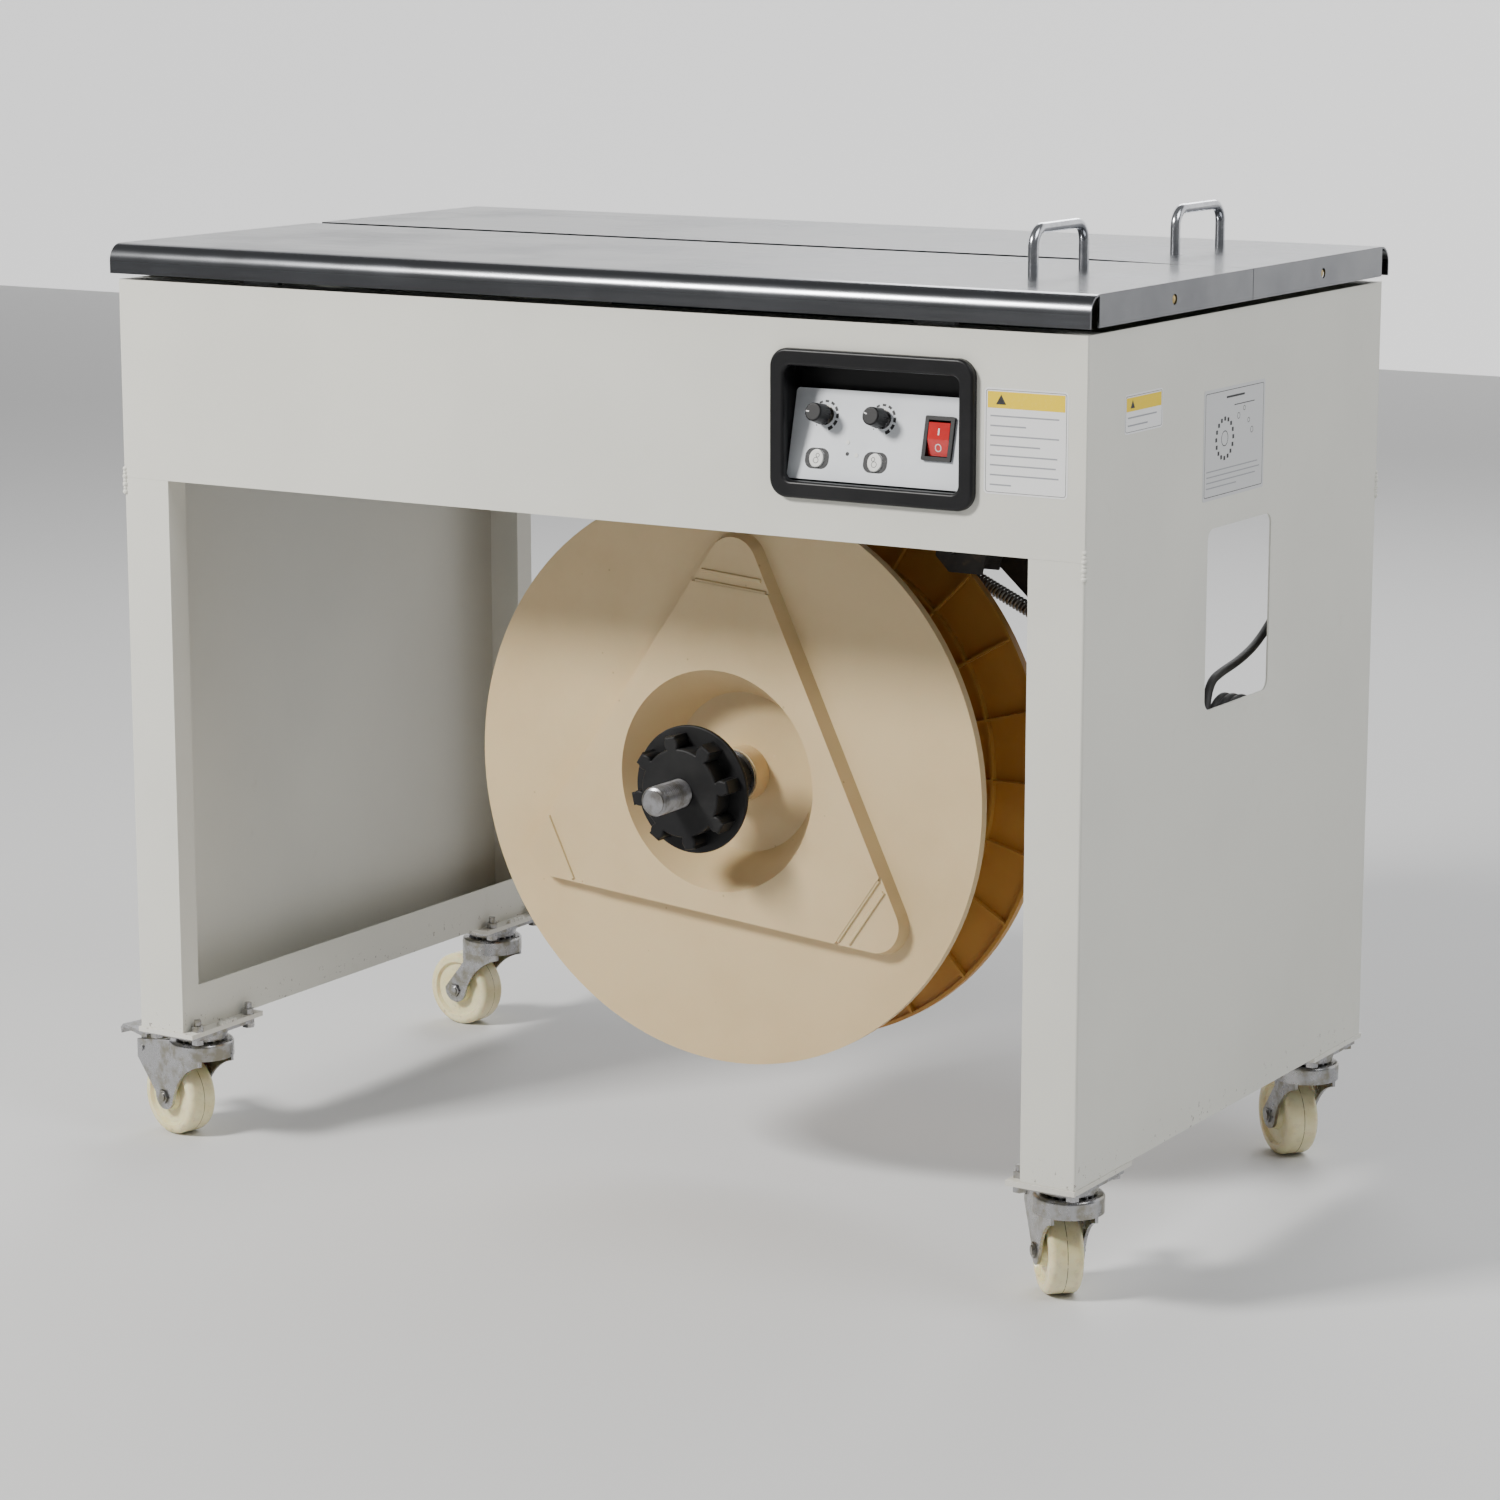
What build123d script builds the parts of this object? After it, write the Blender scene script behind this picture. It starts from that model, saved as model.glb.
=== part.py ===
# Semi automatic strapping machine: a steel cabinet on four swivel casters, a polished
# steel table in two hinged halves, a control panel and a strap reel under the table.
# Millimetres. +X to the right along the front, +Y to the back, +Z up from the floor.
from build123d import *
from math import atan2, cos, degrees, hypot, pi, radians, sin, tan
import os

os.makedirs("parts", exist_ok=True)

# Middle of the ground that the machine covers, measured to the middle of the cabinet:
# the trailing left casters and their brake pedals widen it to the left.
cabinet_x = 32.16
cabinet_y = 0.03

# Cabinet
body_width = 888.0
body_depth = 521.0
leg_bottom = 106.0
panel_bottom = 574.0
body_top = 737.0
sheet = 1.5
bend = 2.0
leg_face = 46.0
leg_return = 22.0
bottom_rail = 37.0
panel_flange = 28.0
side_return = 18.0
joint_gap = 0.1
window_y = -0.5
window_width = 114.0
window_bottom = 433.0
window_height = 140.0
window_corner = 9.0

# Table
end_overhang = 4.0
table_length = body_width + 2 * end_overhang
table_top = 766.0
skirt_height = 24.0
table_sheet = 1.5
lip_radius = 14.0
front_overhang = 5.5
rear_overhang = 3.0
slot_front = 4.0
slot_width = 14.0
seam = 0.8
slot_taper_start = 300.0
slot_taper_end = 395.0
slot_flange = 12.0
hinge_inset = 8.0
hinge_spread = 620.0
hinge_width = 34.0
pin_radius = 3.0
knuckle_radius = 5.0
running_gap = 0.05
stop_x = 338.0
stop_span = 82.0
stop_height = 39.0
stop_radius = 4.0
stop_front_y = -104.0
stop_rear_y = 135.5
skirt_hole_radius = 4.0

# Control panel
control_x = 268.5
control_z = 660.0
bezel_width = 172.0
bezel_height = 111.0
bezel_proud = 6.0
bezel_corner = 14.0
opening_width = 147.6
opening_height = 85.7
tray_width = 159.0
tray_height = 94.0
tray_depth = 30.0
tray_wall = 1.5
plate_tilt = 13.4
plate_width = 154.0
plate_height = 68.0
plate_thickness = 2.0
plate_foot_y = -256.0
plate_foot_z = 618.0
dial_spacing = 48.8
dial_x = -50.3
dial_v = 48.5
knob_radius = 7.8
knob_length = 14.0
knob_stand = 4.5
button_x = -52.7
button_spacing = 49.8
button_v = 16.0
button_width = 12.0
button_height = 13.5
button_proud = 1.6
button_depth = 6.0
rocker_x = 48.3
rocker_v = 37.0
rocker_width = 24.5
rocker_height = 33.0
rocker_rim = 3.0
rocker_proud = 2.5
rocker_radius = 15.0

# Reel
reel_x = 36.0
reel_z = 343.0
reel_radius = 237.0
reel_front = -95.0
reel_spacing = 112.0
flange_sheet = 3.0
rim_width = 5.0
triangle_rise = 13.0
triangle_tip = 200.0
triangle_corner = 22.0
triangle_turn = -4.6
dish_radius = 91.0
floor_radius = 66.0
floor_depth = 32.0
boss_radius = 23.0
boss_length = 19.0
core_radius = 100.0
core_wall = 4.0
rib_height = 9.0
rib_ring = 190.0
rib_count = 24
shaft_radius = 12.0
shaft_end = 107.0
nut_flange_radius = 52.0
nut_face = 50.0
nut_flange = 4.0
nut_core_radius = 36.0
nut_height = 18.0
nut_lobe_radius = 6.5
nut_lobe_reach = 46.0
nut_neck_radius = 19.0
washer_thickness = 2.0

# Casters
caster_inset = 28.5
caster_setback = 45.5
caster_x = body_width / 2 - caster_inset
caster_y = body_depth / 2 - caster_setback
mount_width = 58.0
mount_length = 95.0
mount_thickness = 4.0
bolt_pitch = 68.0
bolt_inner = 24.0
bolt_outer = 20.5
bolt_radius = 3.0
head_plate_thickness = 3.0
cup_height = 8.0
head_radius = 27.5
race_gap = 1.5
head_height = 14.5
cheek = 2.5
wheel_radius = 34.0
wheel_width = 27.0
cheek_gap = 2.2
axle_radius = 4.0
kingpin_radius = 5.0
trail = 32.0
pedal_reach = 96.0
# Name, side, end, where the fork points (degrees from the front towards the right), brake
casters = [
    ("front_left", -1, -1, 76.0, True),
    ("front_right", 1, -1, 41.0, True),
    ("rear_left", -1, 1, 86.0, False),
    ("rear_right", 1, 1, 49.0, False),
]

# Power cord
cord_diameter = 7.0


def level(z):
    """Horizontal plane at height z, with its origin under the middle of the cabinet."""
    return Plane((cabinet_x, cabinet_y, z))


def facing(y):
    """Upright plane across the machine at depth y, seen from the front."""
    return Plane(origin=(cabinet_x, cabinet_y + y, 0), x_dir=(1, 0, 0), z_dir=(0, -1, 0))


def side(x):
    """Upright plane from front to back at x, seen from the right."""
    return Plane(origin=(cabinet_x + x, cabinet_y, 0), x_dir=(0, 1, 0), z_dir=(1, 0, 0))


front_y = -body_depth / 2
rear_y = body_depth / 2

# Side panels


def make_side_panel(hand):
    """One folded sheet: side, two leg faces with returns, and the rail along the bottom."""
    outer = hand * body_width / 2
    inner = outer - hand * (leg_face - sheet / 2)
    with BuildPart() as panel:
        with BuildSketch(level(leg_bottom)):
            with Locations((outer - hand * sheet / 2, 0)):
                Rectangle(sheet, body_depth)
            for end in (-1, 1):
                with Locations((outer - hand * leg_face / 2, end * (body_depth - sheet) / 2)):
                    Rectangle(leg_face, sheet)
                with Locations((inner, end * (body_depth - leg_return) / 2)):
                    Rectangle(sheet, leg_return)
        extrude(amount=panel_bottom - joint_gap - leg_bottom)
        corners = panel.edges().filter_by(Axis.Z).filter_by(
            lambda e: abs(abs(e.center().X - cabinet_x) - body_width / 2) < 0.01
            and abs(abs(e.center().Y - cabinet_y) - body_depth / 2) < 0.01)
        fillet(corners, bend)
        with BuildSketch(level(panel_bottom - joint_gap)):
            with Locations((outer - hand * sheet / 2, 0)):
                Rectangle(sheet, body_depth - 2 * (sheet + joint_gap))
        extrude(amount=body_top - panel_bottom + joint_gap)
        with BuildSketch(level(leg_bottom)):
            with Locations((outer - hand * leg_face / 2, 0)):
                Rectangle(leg_face - sheet, body_depth - 2 * sheet)
        extrude(amount=sheet)
        with BuildSketch(level(leg_bottom)):
            with Locations((inner, 0)):
                Rectangle(sheet, body_depth)
        extrude(amount=bottom_rail)
        if hand > 0:
            with BuildSketch(side(outer - sheet - 1)):
                with Locations((window_y, window_bottom + window_height / 2)):
                    RectangleRounded(window_width, window_height, window_corner)
            extrude(amount=sheet + 2, mode=Mode.SUBTRACT)
    return panel


left_side_panel = make_side_panel(-1)
left_side_panel.part.label = "left_side_panel"
export_step(left_side_panel.part, "parts/left_side_panel.step")

right_side_panel = make_side_panel(1)
right_side_panel.part.label = "right_side_panel"
export_step(right_side_panel.part, "parts/right_side_panel.step")

# Upper panels


def make_upper_panel(end, cutout):
    """Front or rear panel of the upper box, folded inwards along all four edges."""
    face_y = end * body_depth / 2
    inside = -end
    width = body_width
    height = body_top - panel_bottom
    middle = (body_top + panel_bottom) / 2
    with BuildPart() as panel:
        with BuildSketch(facing(face_y)):
            with Locations((0, middle)):
                Rectangle(width, height)
        extrude(amount=end * sheet)
        for z in (panel_bottom + sheet / 2, body_top - sheet / 2):
            with BuildSketch(facing(face_y)):
                with Locations((0, z)):
                    Rectangle(width - 2 * (sheet + joint_gap), sheet)
            extrude(amount=end * panel_flange)
        for x in (-1, 1):
            with BuildSketch(facing(face_y)):
                with Locations((x * (width / 2 - 1.5 * sheet - joint_gap), middle)):
                    Rectangle(sheet, height)
            extrude(amount=end * side_return)
        outside = panel.edges().filter_by(Axis.Z).filter_by(
            lambda e: abs(abs(e.center().X - cabinet_x) - width / 2) < 0.01
            and abs(e.center().Y - cabinet_y - face_y) < 0.01)
        fillet(outside, sheet * 0.6)
        if cutout:
            with BuildSketch(facing(face_y - inside)):
                with Locations((control_x, control_z)):
                    RectangleRounded(tray_width + 2 * joint_gap, tray_height + 2 * joint_gap, 3)
            extrude(amount=end * (sheet + 2), mode=Mode.SUBTRACT)
    return panel


front_upper_panel = make_upper_panel(-1, True)
front_upper_panel.part.label = "front_upper_panel"
export_step(front_upper_panel.part, "parts/front_upper_panel.step")

rear_upper_panel = make_upper_panel(1, False)
rear_upper_panel.part.label = "rear_upper_panel"
export_step(rear_upper_panel.part, "parts/rear_upper_panel.step")

# Deck under the strapping head: its folded edges stand on the panels' lower flanges
deck_thickness = 2.0
deck_z = 590.0
deck_foot = panel_bottom + sheet + joint_gap
deck_gap = 1.0
strap_hole_x = 228.0
strap_hole_length = 64.0
strap_hole_width = 40.0
strap_y = reel_front + reel_spacing / 2
deck_width = body_width - 4 * sheet - 2 * deck_gap - 2 * side_return
deck_depth = body_depth - 2 * (sheet + deck_gap)
with BuildPart() as mechanism_deck:
    with BuildSketch(level(deck_z)):
        Rectangle(deck_width, deck_depth)
    extrude(amount=deck_thickness)
    with BuildSketch(level(deck_foot)):
        for end in (-1, 1):
            with Locations((0, end * (deck_depth - deck_thickness) / 2)):
                Rectangle(deck_width, deck_thickness)
    extrude(amount=deck_z - deck_foot)
    with BuildSketch(level(deck_z)):
        with Locations((strap_hole_x, strap_y)):
            RectangleRounded(strap_hole_length, strap_hole_width, 5)
        with Locations((-260, -120)):
            with GridLocations(26, 60, 9, 2):
                SlotOverall(44, 10, rotation=90)
    extrude(amount=deck_thickness, mode=Mode.SUBTRACT)
mechanism_deck.part.label = "mechanism_deck"
export_step(mechanism_deck.part, "parts/mechanism_deck.step")

# Table: two halves of polished sheet, a rolled lip along the outer edge of each
half_length = table_length / 2
sheet_under = table_top - table_sheet
skirt_bottom = table_top - skirt_height
front_edge = front_y - front_overhang
rear_edge = rear_y + rear_overhang
slot_rear = slot_front + slot_width
end_sheet = side(-half_length)


def table_section(lip_y, inner_y):
    """Closed outline of the sheet: inner flange, flat top, rolled lip."""
    way = 1 if inner_y > lip_y else -1
    skin = way * table_sheet
    turn = way * lip_radius
    shoulder = table_top - lip_radius
    under = shoulder + (lip_radius - table_sheet) * sin(pi / 4)
    over = shoulder + lip_radius * sin(pi / 4)
    with BuildLine() as outline:
        Polyline((inner_y, table_top - slot_flange), (inner_y, table_top), (lip_y + turn, table_top))
        ThreePointArc((lip_y + turn, table_top),
                      (lip_y + turn * (1 - cos(pi / 4)), over), (lip_y, shoulder))
        Polyline((lip_y, shoulder), (lip_y, skirt_bottom), (lip_y + skin, skirt_bottom),
                 (lip_y + skin, shoulder))
        ThreePointArc((lip_y + skin, shoulder),
                      (lip_y + turn - (turn - skin) * cos(pi / 4), under),
                      (lip_y + turn, sheet_under))
        Polyline((lip_y + turn, sheet_under), (inner_y - skin, sheet_under),
                 (inner_y - skin, table_top - slot_flange), (inner_y, table_top - slot_flange))
    return outline


with BuildPart() as table_front:
    with BuildSketch(end_sheet):
        make_face(table_section(front_edge, slot_front).edges())
    extrude(amount=table_length)
    for x in (-half_length, half_length - table_sheet):
        with BuildSketch(side(x)):
            with Locations(((front_edge + lip_radius + slot_front) / 2, (table_top + skirt_bottom) / 2)):
                Rectangle(slot_front - front_edge - lip_radius, skirt_height)
            with Locations(((front_edge + slot_front) / 2, skirt_bottom + skirt_height / 2 - 1)):
                Circle(skirt_hole_radius, mode=Mode.SUBTRACT)
        extrude(amount=table_sheet)
    for y in (-stop_span / 2, stop_span / 2):
        with BuildSketch(level(sheet_under)):
            with Locations((stop_x, stop_front_y + y)):
                Circle(stop_radius + running_gap)
        extrude(amount=table_sheet, mode=Mode.SUBTRACT)
table_front.part.label = "table_front"
export_step(table_front.part, "parts/table_front.step")

wedge_front = slot_front + seam
with BuildPart() as table_rear:
    with BuildSketch(end_sheet):
        make_face(table_section(rear_edge, slot_rear).edges())
    extrude(amount=half_length + slot_taper_start)
    with BuildSketch(side(slot_taper_start)):
        make_face(table_section(rear_edge, slot_rear + 2 * table_sheet).edges())
    extrude(amount=half_length - slot_taper_start)
    # The slot closes along a slanted edge, then the halves meet in a tight seam
    with BuildSketch(level(sheet_under)):
        with BuildLine():
            Polyline((slot_taper_start, slot_rear), (slot_taper_end, wedge_front),
                     (half_length, wedge_front), (half_length, slot_rear + 3 * table_sheet),
                     (slot_taper_start, slot_rear + 3 * table_sheet), close=True)
        make_face()
    extrude(amount=table_sheet)
    with BuildSketch(level(table_top - slot_flange)):
        with BuildLine():
            Polyline((slot_taper_start - 0.2, slot_rear), (slot_taper_start, slot_rear),
                     (slot_taper_end, wedge_front), (half_length, wedge_front),
                     (half_length, wedge_front + table_sheet),
                     (slot_taper_end + 0.2, wedge_front + table_sheet),
                     (slot_taper_start, slot_rear + table_sheet),
                     (slot_taper_start - 0.2, slot_rear + table_sheet), close=True)
        make_face()
    extrude(amount=slot_flange)
    for x in (-half_length, half_length - table_sheet):
        inner = slot_rear if x < 0 else wedge_front
        with BuildSketch(side(x)):
            with Locations(((rear_edge - lip_radius + inner) / 2, (table_top + skirt_bottom) / 2)):
                Rectangle(rear_edge - lip_radius - inner, skirt_height)
            with Locations(((rear_edge + inner) / 2, skirt_bottom + skirt_height / 2 - 1)):
                Circle(skirt_hole_radius, mode=Mode.SUBTRACT)
        extrude(amount=table_sheet)
    for y in (-stop_span / 2, stop_span / 2):
        with BuildSketch(level(sheet_under)):
            with Locations((stop_x, stop_rear_y + y)):
                Circle(stop_radius + running_gap)
        extrude(amount=table_sheet, mode=Mode.SUBTRACT)
table_rear.part.label = "table_rear"
export_step(table_rear.part, "parts/table_rear.step")


def make_stop(y):
    """Bent rod that stands through the table, with a nut under the sheet on each leg."""
    bend_radius = 14.0
    foot = sheet_under - 14
    high = table_top + stop_height - stop_radius
    half = stop_span / 2
    with BuildPart() as stop:
        with BuildLine(side(stop_x)) as rod:
            FilletPolyline((y - half, foot), (y - half, high), (y + half, high), (y + half, foot),
                           radius=bend_radius)
        with BuildSketch(Plane(origin=rod.line @ 0, z_dir=rod.line % 0)):
            Circle(stop_radius)
        sweep()
        for leg in (y - half, y + half):
            with BuildSketch(level(sheet_under - 6.3)):
                with Locations((stop_x, leg)):
                    RegularPolygon(7.5, 6)
            extrude(amount=6)
    return stop


stop_front = make_stop(stop_front_y)
stop_front.part.label = "stop_front"
export_step(stop_front.part, "parts/stop_front.step")

stop_rear = make_stop(stop_rear_y)
stop_rear.part.label = "stop_rear"
export_step(stop_rear.part, "parts/stop_rear.step")

# Table hinges, hidden behind the lips: a gooseneck arm on the cabinet carries the pin
hinge_z = table_top - lip_radius
hinge_front_y = front_edge + hinge_inset
hinge_rear_y = rear_edge - hinge_inset
arm_thickness = 5.0
arm_foot = 24.0
arm_reach = 15.0
hinge_places = (-hinge_spread / 2, hinge_spread / 2)


def hinge_arm(x, pivot_y, way):
    """Foot on the panel's top flange, post, and an arm out to the pin."""
    start = side(x - hinge_width / 2)
    with BuildPart() as arm:
        with BuildSketch(start):
            with BuildLine():
                Polyline((pivot_y, hinge_z - arm_thickness / 2),
                         (pivot_y + way * arm_reach, hinge_z - arm_thickness / 2),
                         (pivot_y + way * arm_reach, body_top + arm_thickness),
                         (pivot_y + way * (arm_reach - 1), body_top + arm_thickness),
                         (pivot_y + way * (arm_reach - 1), body_top),
                         (pivot_y + way * (arm_reach + arm_thickness), body_top),
                         (pivot_y + way * (arm_reach + arm_thickness), hinge_z + arm_thickness / 2),
                         (pivot_y, hinge_z + arm_thickness / 2), close=True)
            make_face()
            with Locations((pivot_y, hinge_z)):
                Circle(knuckle_radius)
        extrude(amount=hinge_width)
        # The middle third of the knuckle belongs to the table's leaf
        with BuildSketch(side(x - hinge_width / 6 - 0.3)):
            with Locations((pivot_y, hinge_z)):
                Circle(knuckle_radius + 1.5)
        extrude(amount=hinge_width / 3 + 0.6, mode=Mode.SUBTRACT)
        with BuildSketch(start):
            with Locations((pivot_y, hinge_z)):
                Circle(pin_radius)
        extrude(amount=hinge_width)
    return arm.part


hinge_arms = Compound(
    label="hinge_arms",
    children=[hinge_arm(x, hinge_front_y, 1) for x in hinge_places]
    + [hinge_arm(x, hinge_rear_y, -1) for x in hinge_places])
export_step(hinge_arms, "parts/hinge_arms.step")


def hinge_leaf(x, pivot_y, way):
    """Knuckle around the pin and a leaf up to the underside of the table."""
    leaf_length = 28.0
    leaf = 2.0
    with BuildPart() as part:
        with BuildSketch(side(x - hinge_width / 6)):
            with Locations((pivot_y, hinge_z)):
                Circle(knuckle_radius)
            with BuildLine():
                Polyline((pivot_y - way * leaf, hinge_z + leaf),
                         (pivot_y + way * (lip_radius - hinge_inset + 0.3), sheet_under),
                         (pivot_y + way * leaf_length, sheet_under),
                         (pivot_y + way * leaf_length, sheet_under - leaf),
                         (pivot_y + way * (lip_radius - hinge_inset + 3), sheet_under - leaf),
                         (pivot_y + way * 2 * leaf, hinge_z), close=True)
            make_face()
            with Locations((pivot_y, hinge_z)):
                Circle(pin_radius + running_gap, mode=Mode.SUBTRACT)
        extrude(amount=hinge_width / 3)
    return part.part


front_hinge_leaves = Compound(
    label="front_hinge_leaves", children=[hinge_leaf(x, hinge_front_y, 1) for x in hinge_places])
export_step(front_hinge_leaves, "parts/front_hinge_leaves.step")

rear_hinge_leaves = Compound(
    label="rear_hinge_leaves", children=[hinge_leaf(x, hinge_rear_y, -1) for x in hinge_places])
export_step(rear_hinge_leaves, "parts/rear_hinge_leaves.step")

# Rails under the inner edges of the table halves, and the strap's channel between them
rail_width = 16.0
rail_height = 22.0
rail_gap = 0.2
rail_side_gap = 1.0
rail_length = body_width - 2 * sheet - 2 * rail_gap
with BuildPart() as table_rails:
    for edge, way in ((slot_front - table_sheet - rail_side_gap, -1), (slot_rear + 5 * table_sheet, 1)):
        with BuildSketch(level(sheet_under - rail_gap - rail_height)):
            with Locations((0, edge + way * rail_width / 2)):
                Rectangle(rail_length, rail_width)
                Rectangle(rail_length, rail_width - 4, mode=Mode.SUBTRACT)
        extrude(amount=rail_height - 2)
        with BuildSketch(level(sheet_under - rail_gap - 2)):
            with Locations((0, edge + way * rail_width / 2)):
                Rectangle(rail_length, rail_width)
        extrude(amount=2)
table_rails.part.label = "table_rails"
export_step(table_rails.part, "parts/table_rails.step")

# Control panel: bezel on the front, tray through the panel, tilted face plate in the tray
with BuildPart() as control_bezel:
    with BuildSketch(facing(front_y)):
        with Locations((control_x, control_z)):
            RectangleRounded(bezel_width, bezel_height, bezel_corner)
            RectangleRounded(opening_width, opening_height, 6, mode=Mode.SUBTRACT)
    extrude(amount=bezel_proud)
    proud_edges = control_bezel.faces().sort_by(Axis.Y)[0].edges()
    fillet(proud_edges, 2.4)
control_bezel.part.label = "control_bezel"
export_step(control_bezel.part, "parts/control_bezel.step")

with BuildPart() as control_tray:
    with BuildSketch(facing(front_y)):
        with Locations((control_x, control_z)):
            RectangleRounded(tray_width, tray_height, 3)
    extrude(amount=-tray_depth)
    with BuildSketch(facing(front_y)):
        with Locations((control_x, control_z)):
            RectangleRounded(tray_width - 2 * tray_wall, tray_height - 2 * tray_wall, 2)
    extrude(amount=-(tray_depth - tray_wall), mode=Mode.SUBTRACT)
    # Ribs in the upper corners
    for x in (-1, 1):
        with BuildSketch(facing(front_y + tray_depth - tray_wall)):
            with Locations((control_x + x * (tray_width / 2 - 7), control_z + tray_height / 2 - 5)):
                Rectangle(2, 8)
        extrude(amount=tray_depth - tray_wall - 8)
control_tray.part.label = "control_tray"
export_step(control_tray.part, "parts/control_tray.step")

lean = radians(plate_tilt)


def on_plate(height):
    """Plane parallel to the tilted face plate, raised by height; its Y runs up the plate."""
    return Plane(
        origin=(cabinet_x + control_x,
                cabinet_y + plate_foot_y - height * cos(lean),
                plate_foot_z + height * sin(lean)),
        x_dir=(1, 0, 0), z_dir=(0, -cos(lean), sin(lean)))


button_places = (button_x, button_x + button_spacing)
dial_places = (dial_x, dial_x + dial_spacing)
body_gap = 0.3
with BuildPart() as face_plate:
    with BuildSketch(on_plate(0)):
        with Locations((0, plate_height / 2)):
            RectangleRounded(plate_width, plate_height, 3)
        for x in dial_places:
            with Locations((x, dial_v)):
                Circle(3.5 + running_gap, mode=Mode.SUBTRACT)
        for x in button_places:
            with Locations((x, button_v)):
                Ellipse(button_width / 2 + body_gap, button_height / 2 + body_gap, mode=Mode.SUBTRACT)
        with Locations((rocker_x, rocker_v)):
            Rectangle(rocker_width - 2, rocker_height - 2, mode=Mode.SUBTRACT)
    extrude(amount=-plate_thickness)
face_plate.part.label = "face_plate"
export_step(face_plate.part, "parts/face_plate.step")


def make_knob(x):
    """Fluted cap on a spindle that passes through the plate."""
    flutes = 12
    with BuildPart() as knob:
        with BuildSketch(on_plate(knob_stand)):
            with Locations((x, dial_v)):
                Circle(knob_radius)
        extrude(amount=knob_length, taper=4)
        top = knob.faces().sort_by(Axis.Y)[0]
        fillet(top.edges(), 1.2)
        with BuildSketch(on_plate(knob_stand)):
            with Locations((x, dial_v)):
                with PolarLocations(knob_radius + 0.5, flutes):
                    Circle(1.1)
        extrude(amount=knob_length * 0.7, mode=Mode.SUBTRACT)
        with BuildSketch(on_plate(-8)):
            with Locations((x, dial_v)):
                Circle(3)
        extrude(amount=8 + knob_stand + 1)
    return knob


feed_knob = make_knob(dial_places[0])
feed_knob.part.label = "feed_knob"
export_step(feed_knob.part, "parts/feed_knob.step")

tension_knob = make_knob(dial_places[1])
tension_knob.part.label = "tension_knob"
export_step(tension_knob.part, "parts/tension_knob.step")

# Threaded bushes of the two potentiometers, each with its nut, washer and can behind
with BuildPart() as dial_bushes:
    for x in dial_places:
        for height, amount, radius in ((0, 0.6, 7.6), (-10, 14, 3.4)):
            with BuildSketch(on_plate(height)):
                with Locations((x, dial_v)):
                    Circle(radius)
            extrude(amount=amount)
        with BuildSketch(on_plate(0.6)):
            with Locations((x, dial_v)):
                RegularPolygon(5.5, 6, major_radius=False)
        extrude(amount=2.2)
        with BuildSketch(on_plate(-plate_thickness)):
            with Locations((x, dial_v)):
                Circle(8.5)
        extrude(amount=-5)
        with BuildSketch(on_plate(-12)):
            with Locations((x, dial_v)):
                Circle(3 + running_gap)
        extrude(amount=20, mode=Mode.SUBTRACT)
dial_bushes.part.label = "dial_bushes"
export_step(dial_bushes.part, "parts/dial_bushes.step")


def make_button(x):
    """Oval cap with a collar behind the plate."""
    with BuildPart() as button:
        with BuildSketch(on_plate(-button_depth)):
            with Locations((x, button_v)):
                Ellipse(button_width / 2, button_height / 2)
        extrude(amount=button_depth + button_proud)
        fillet(button.faces().sort_by(Axis.Y)[0].edges(), 0.6)
        with BuildSketch(on_plate(-button_depth)):
            with Locations((x, button_v)):
                Ellipse(button_width / 2 + 1.5, button_height / 2 + 1.5)
        extrude(amount=button_depth - plate_thickness - body_gap)
    return button


feed_button = make_button(button_places[0])
feed_button.part.label = "feed_button"
export_step(feed_button.part, "parts/feed_button.step")

start_button = make_button(button_places[1])
start_button.part.label = "start_button"
export_step(start_button.part, "parts/start_button.step")

with BuildPart() as rocker_frame:
    with BuildSketch(on_plate(0)):
        with Locations((rocker_x, rocker_v)):
            RectangleRounded(rocker_width, rocker_height, 1.2)
            Rectangle(rocker_width - 2 * rocker_rim, rocker_height - 2 * rocker_rim,
                      mode=Mode.SUBTRACT)
    extrude(amount=rocker_proud)
    with BuildSketch(on_plate(0)):
        with Locations((rocker_x, rocker_v)):
            Rectangle(rocker_width - 2.2, rocker_height - 2.2)
            Rectangle(rocker_width - 2 * rocker_rim, rocker_height - 2 * rocker_rim,
                      mode=Mode.SUBTRACT)
    extrude(amount=-8)
rocker_frame.part.label = "rocker_frame"
export_step(rocker_frame.part, "parts/rocker_frame.step")

# Rocker: a shallow V seen from the side, turning about a pin across the frame
rocker_gap = 0.4
rocker_length = rocker_height - 2 * rocker_rim - 2 * rocker_gap
rocker_across = rocker_width - 2 * rocker_rim - 2 * rocker_gap
rocker_swing = 10.0
with BuildPart() as power_rocker:
    pivot = on_plate(-2)
    rocker_side = Plane(
        origin=pivot.from_local_coords((rocker_x - rocker_across / 2, rocker_v, 0)),
        x_dir=pivot.y_dir, z_dir=pivot.x_dir)
    half = rocker_length / 2 - 0.8
    with BuildSketch(rocker_side):
        with BuildLine():
            Polyline((-half, -3), (half, -3), (half, 2.4), (0, 4.2), (-half, 2.4), close=True)
        make_face()
    extrude(amount=rocker_across)
power_rocker.part = power_rocker.part.rotate(
    Axis(rocker_side.origin, pivot.x_dir), rocker_swing)
power_rocker.part.label = "power_rocker"
export_step(power_rocker.part, "parts/power_rocker.step")

# Reel: two moulded flanges on a core, clamped on a threaded shaft by a lobed nut
reel_axis = Axis((cabinet_x + reel_x, cabinet_y, reel_z), (0, 1, 0))
reel_profile = Plane(origin=(cabinet_x + reel_x, cabinet_y, reel_z), x_dir=(1, 0, 0), z_dir=(0, 0, 1))
reel_middle = reel_front + reel_spacing / 2
rib_thickness = 2.2
triangle_taper = 18.0
step_depth = 2.0
face = reel_front - triangle_rise
floor = reel_front + floor_depth
bore_gap = 0.3


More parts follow.
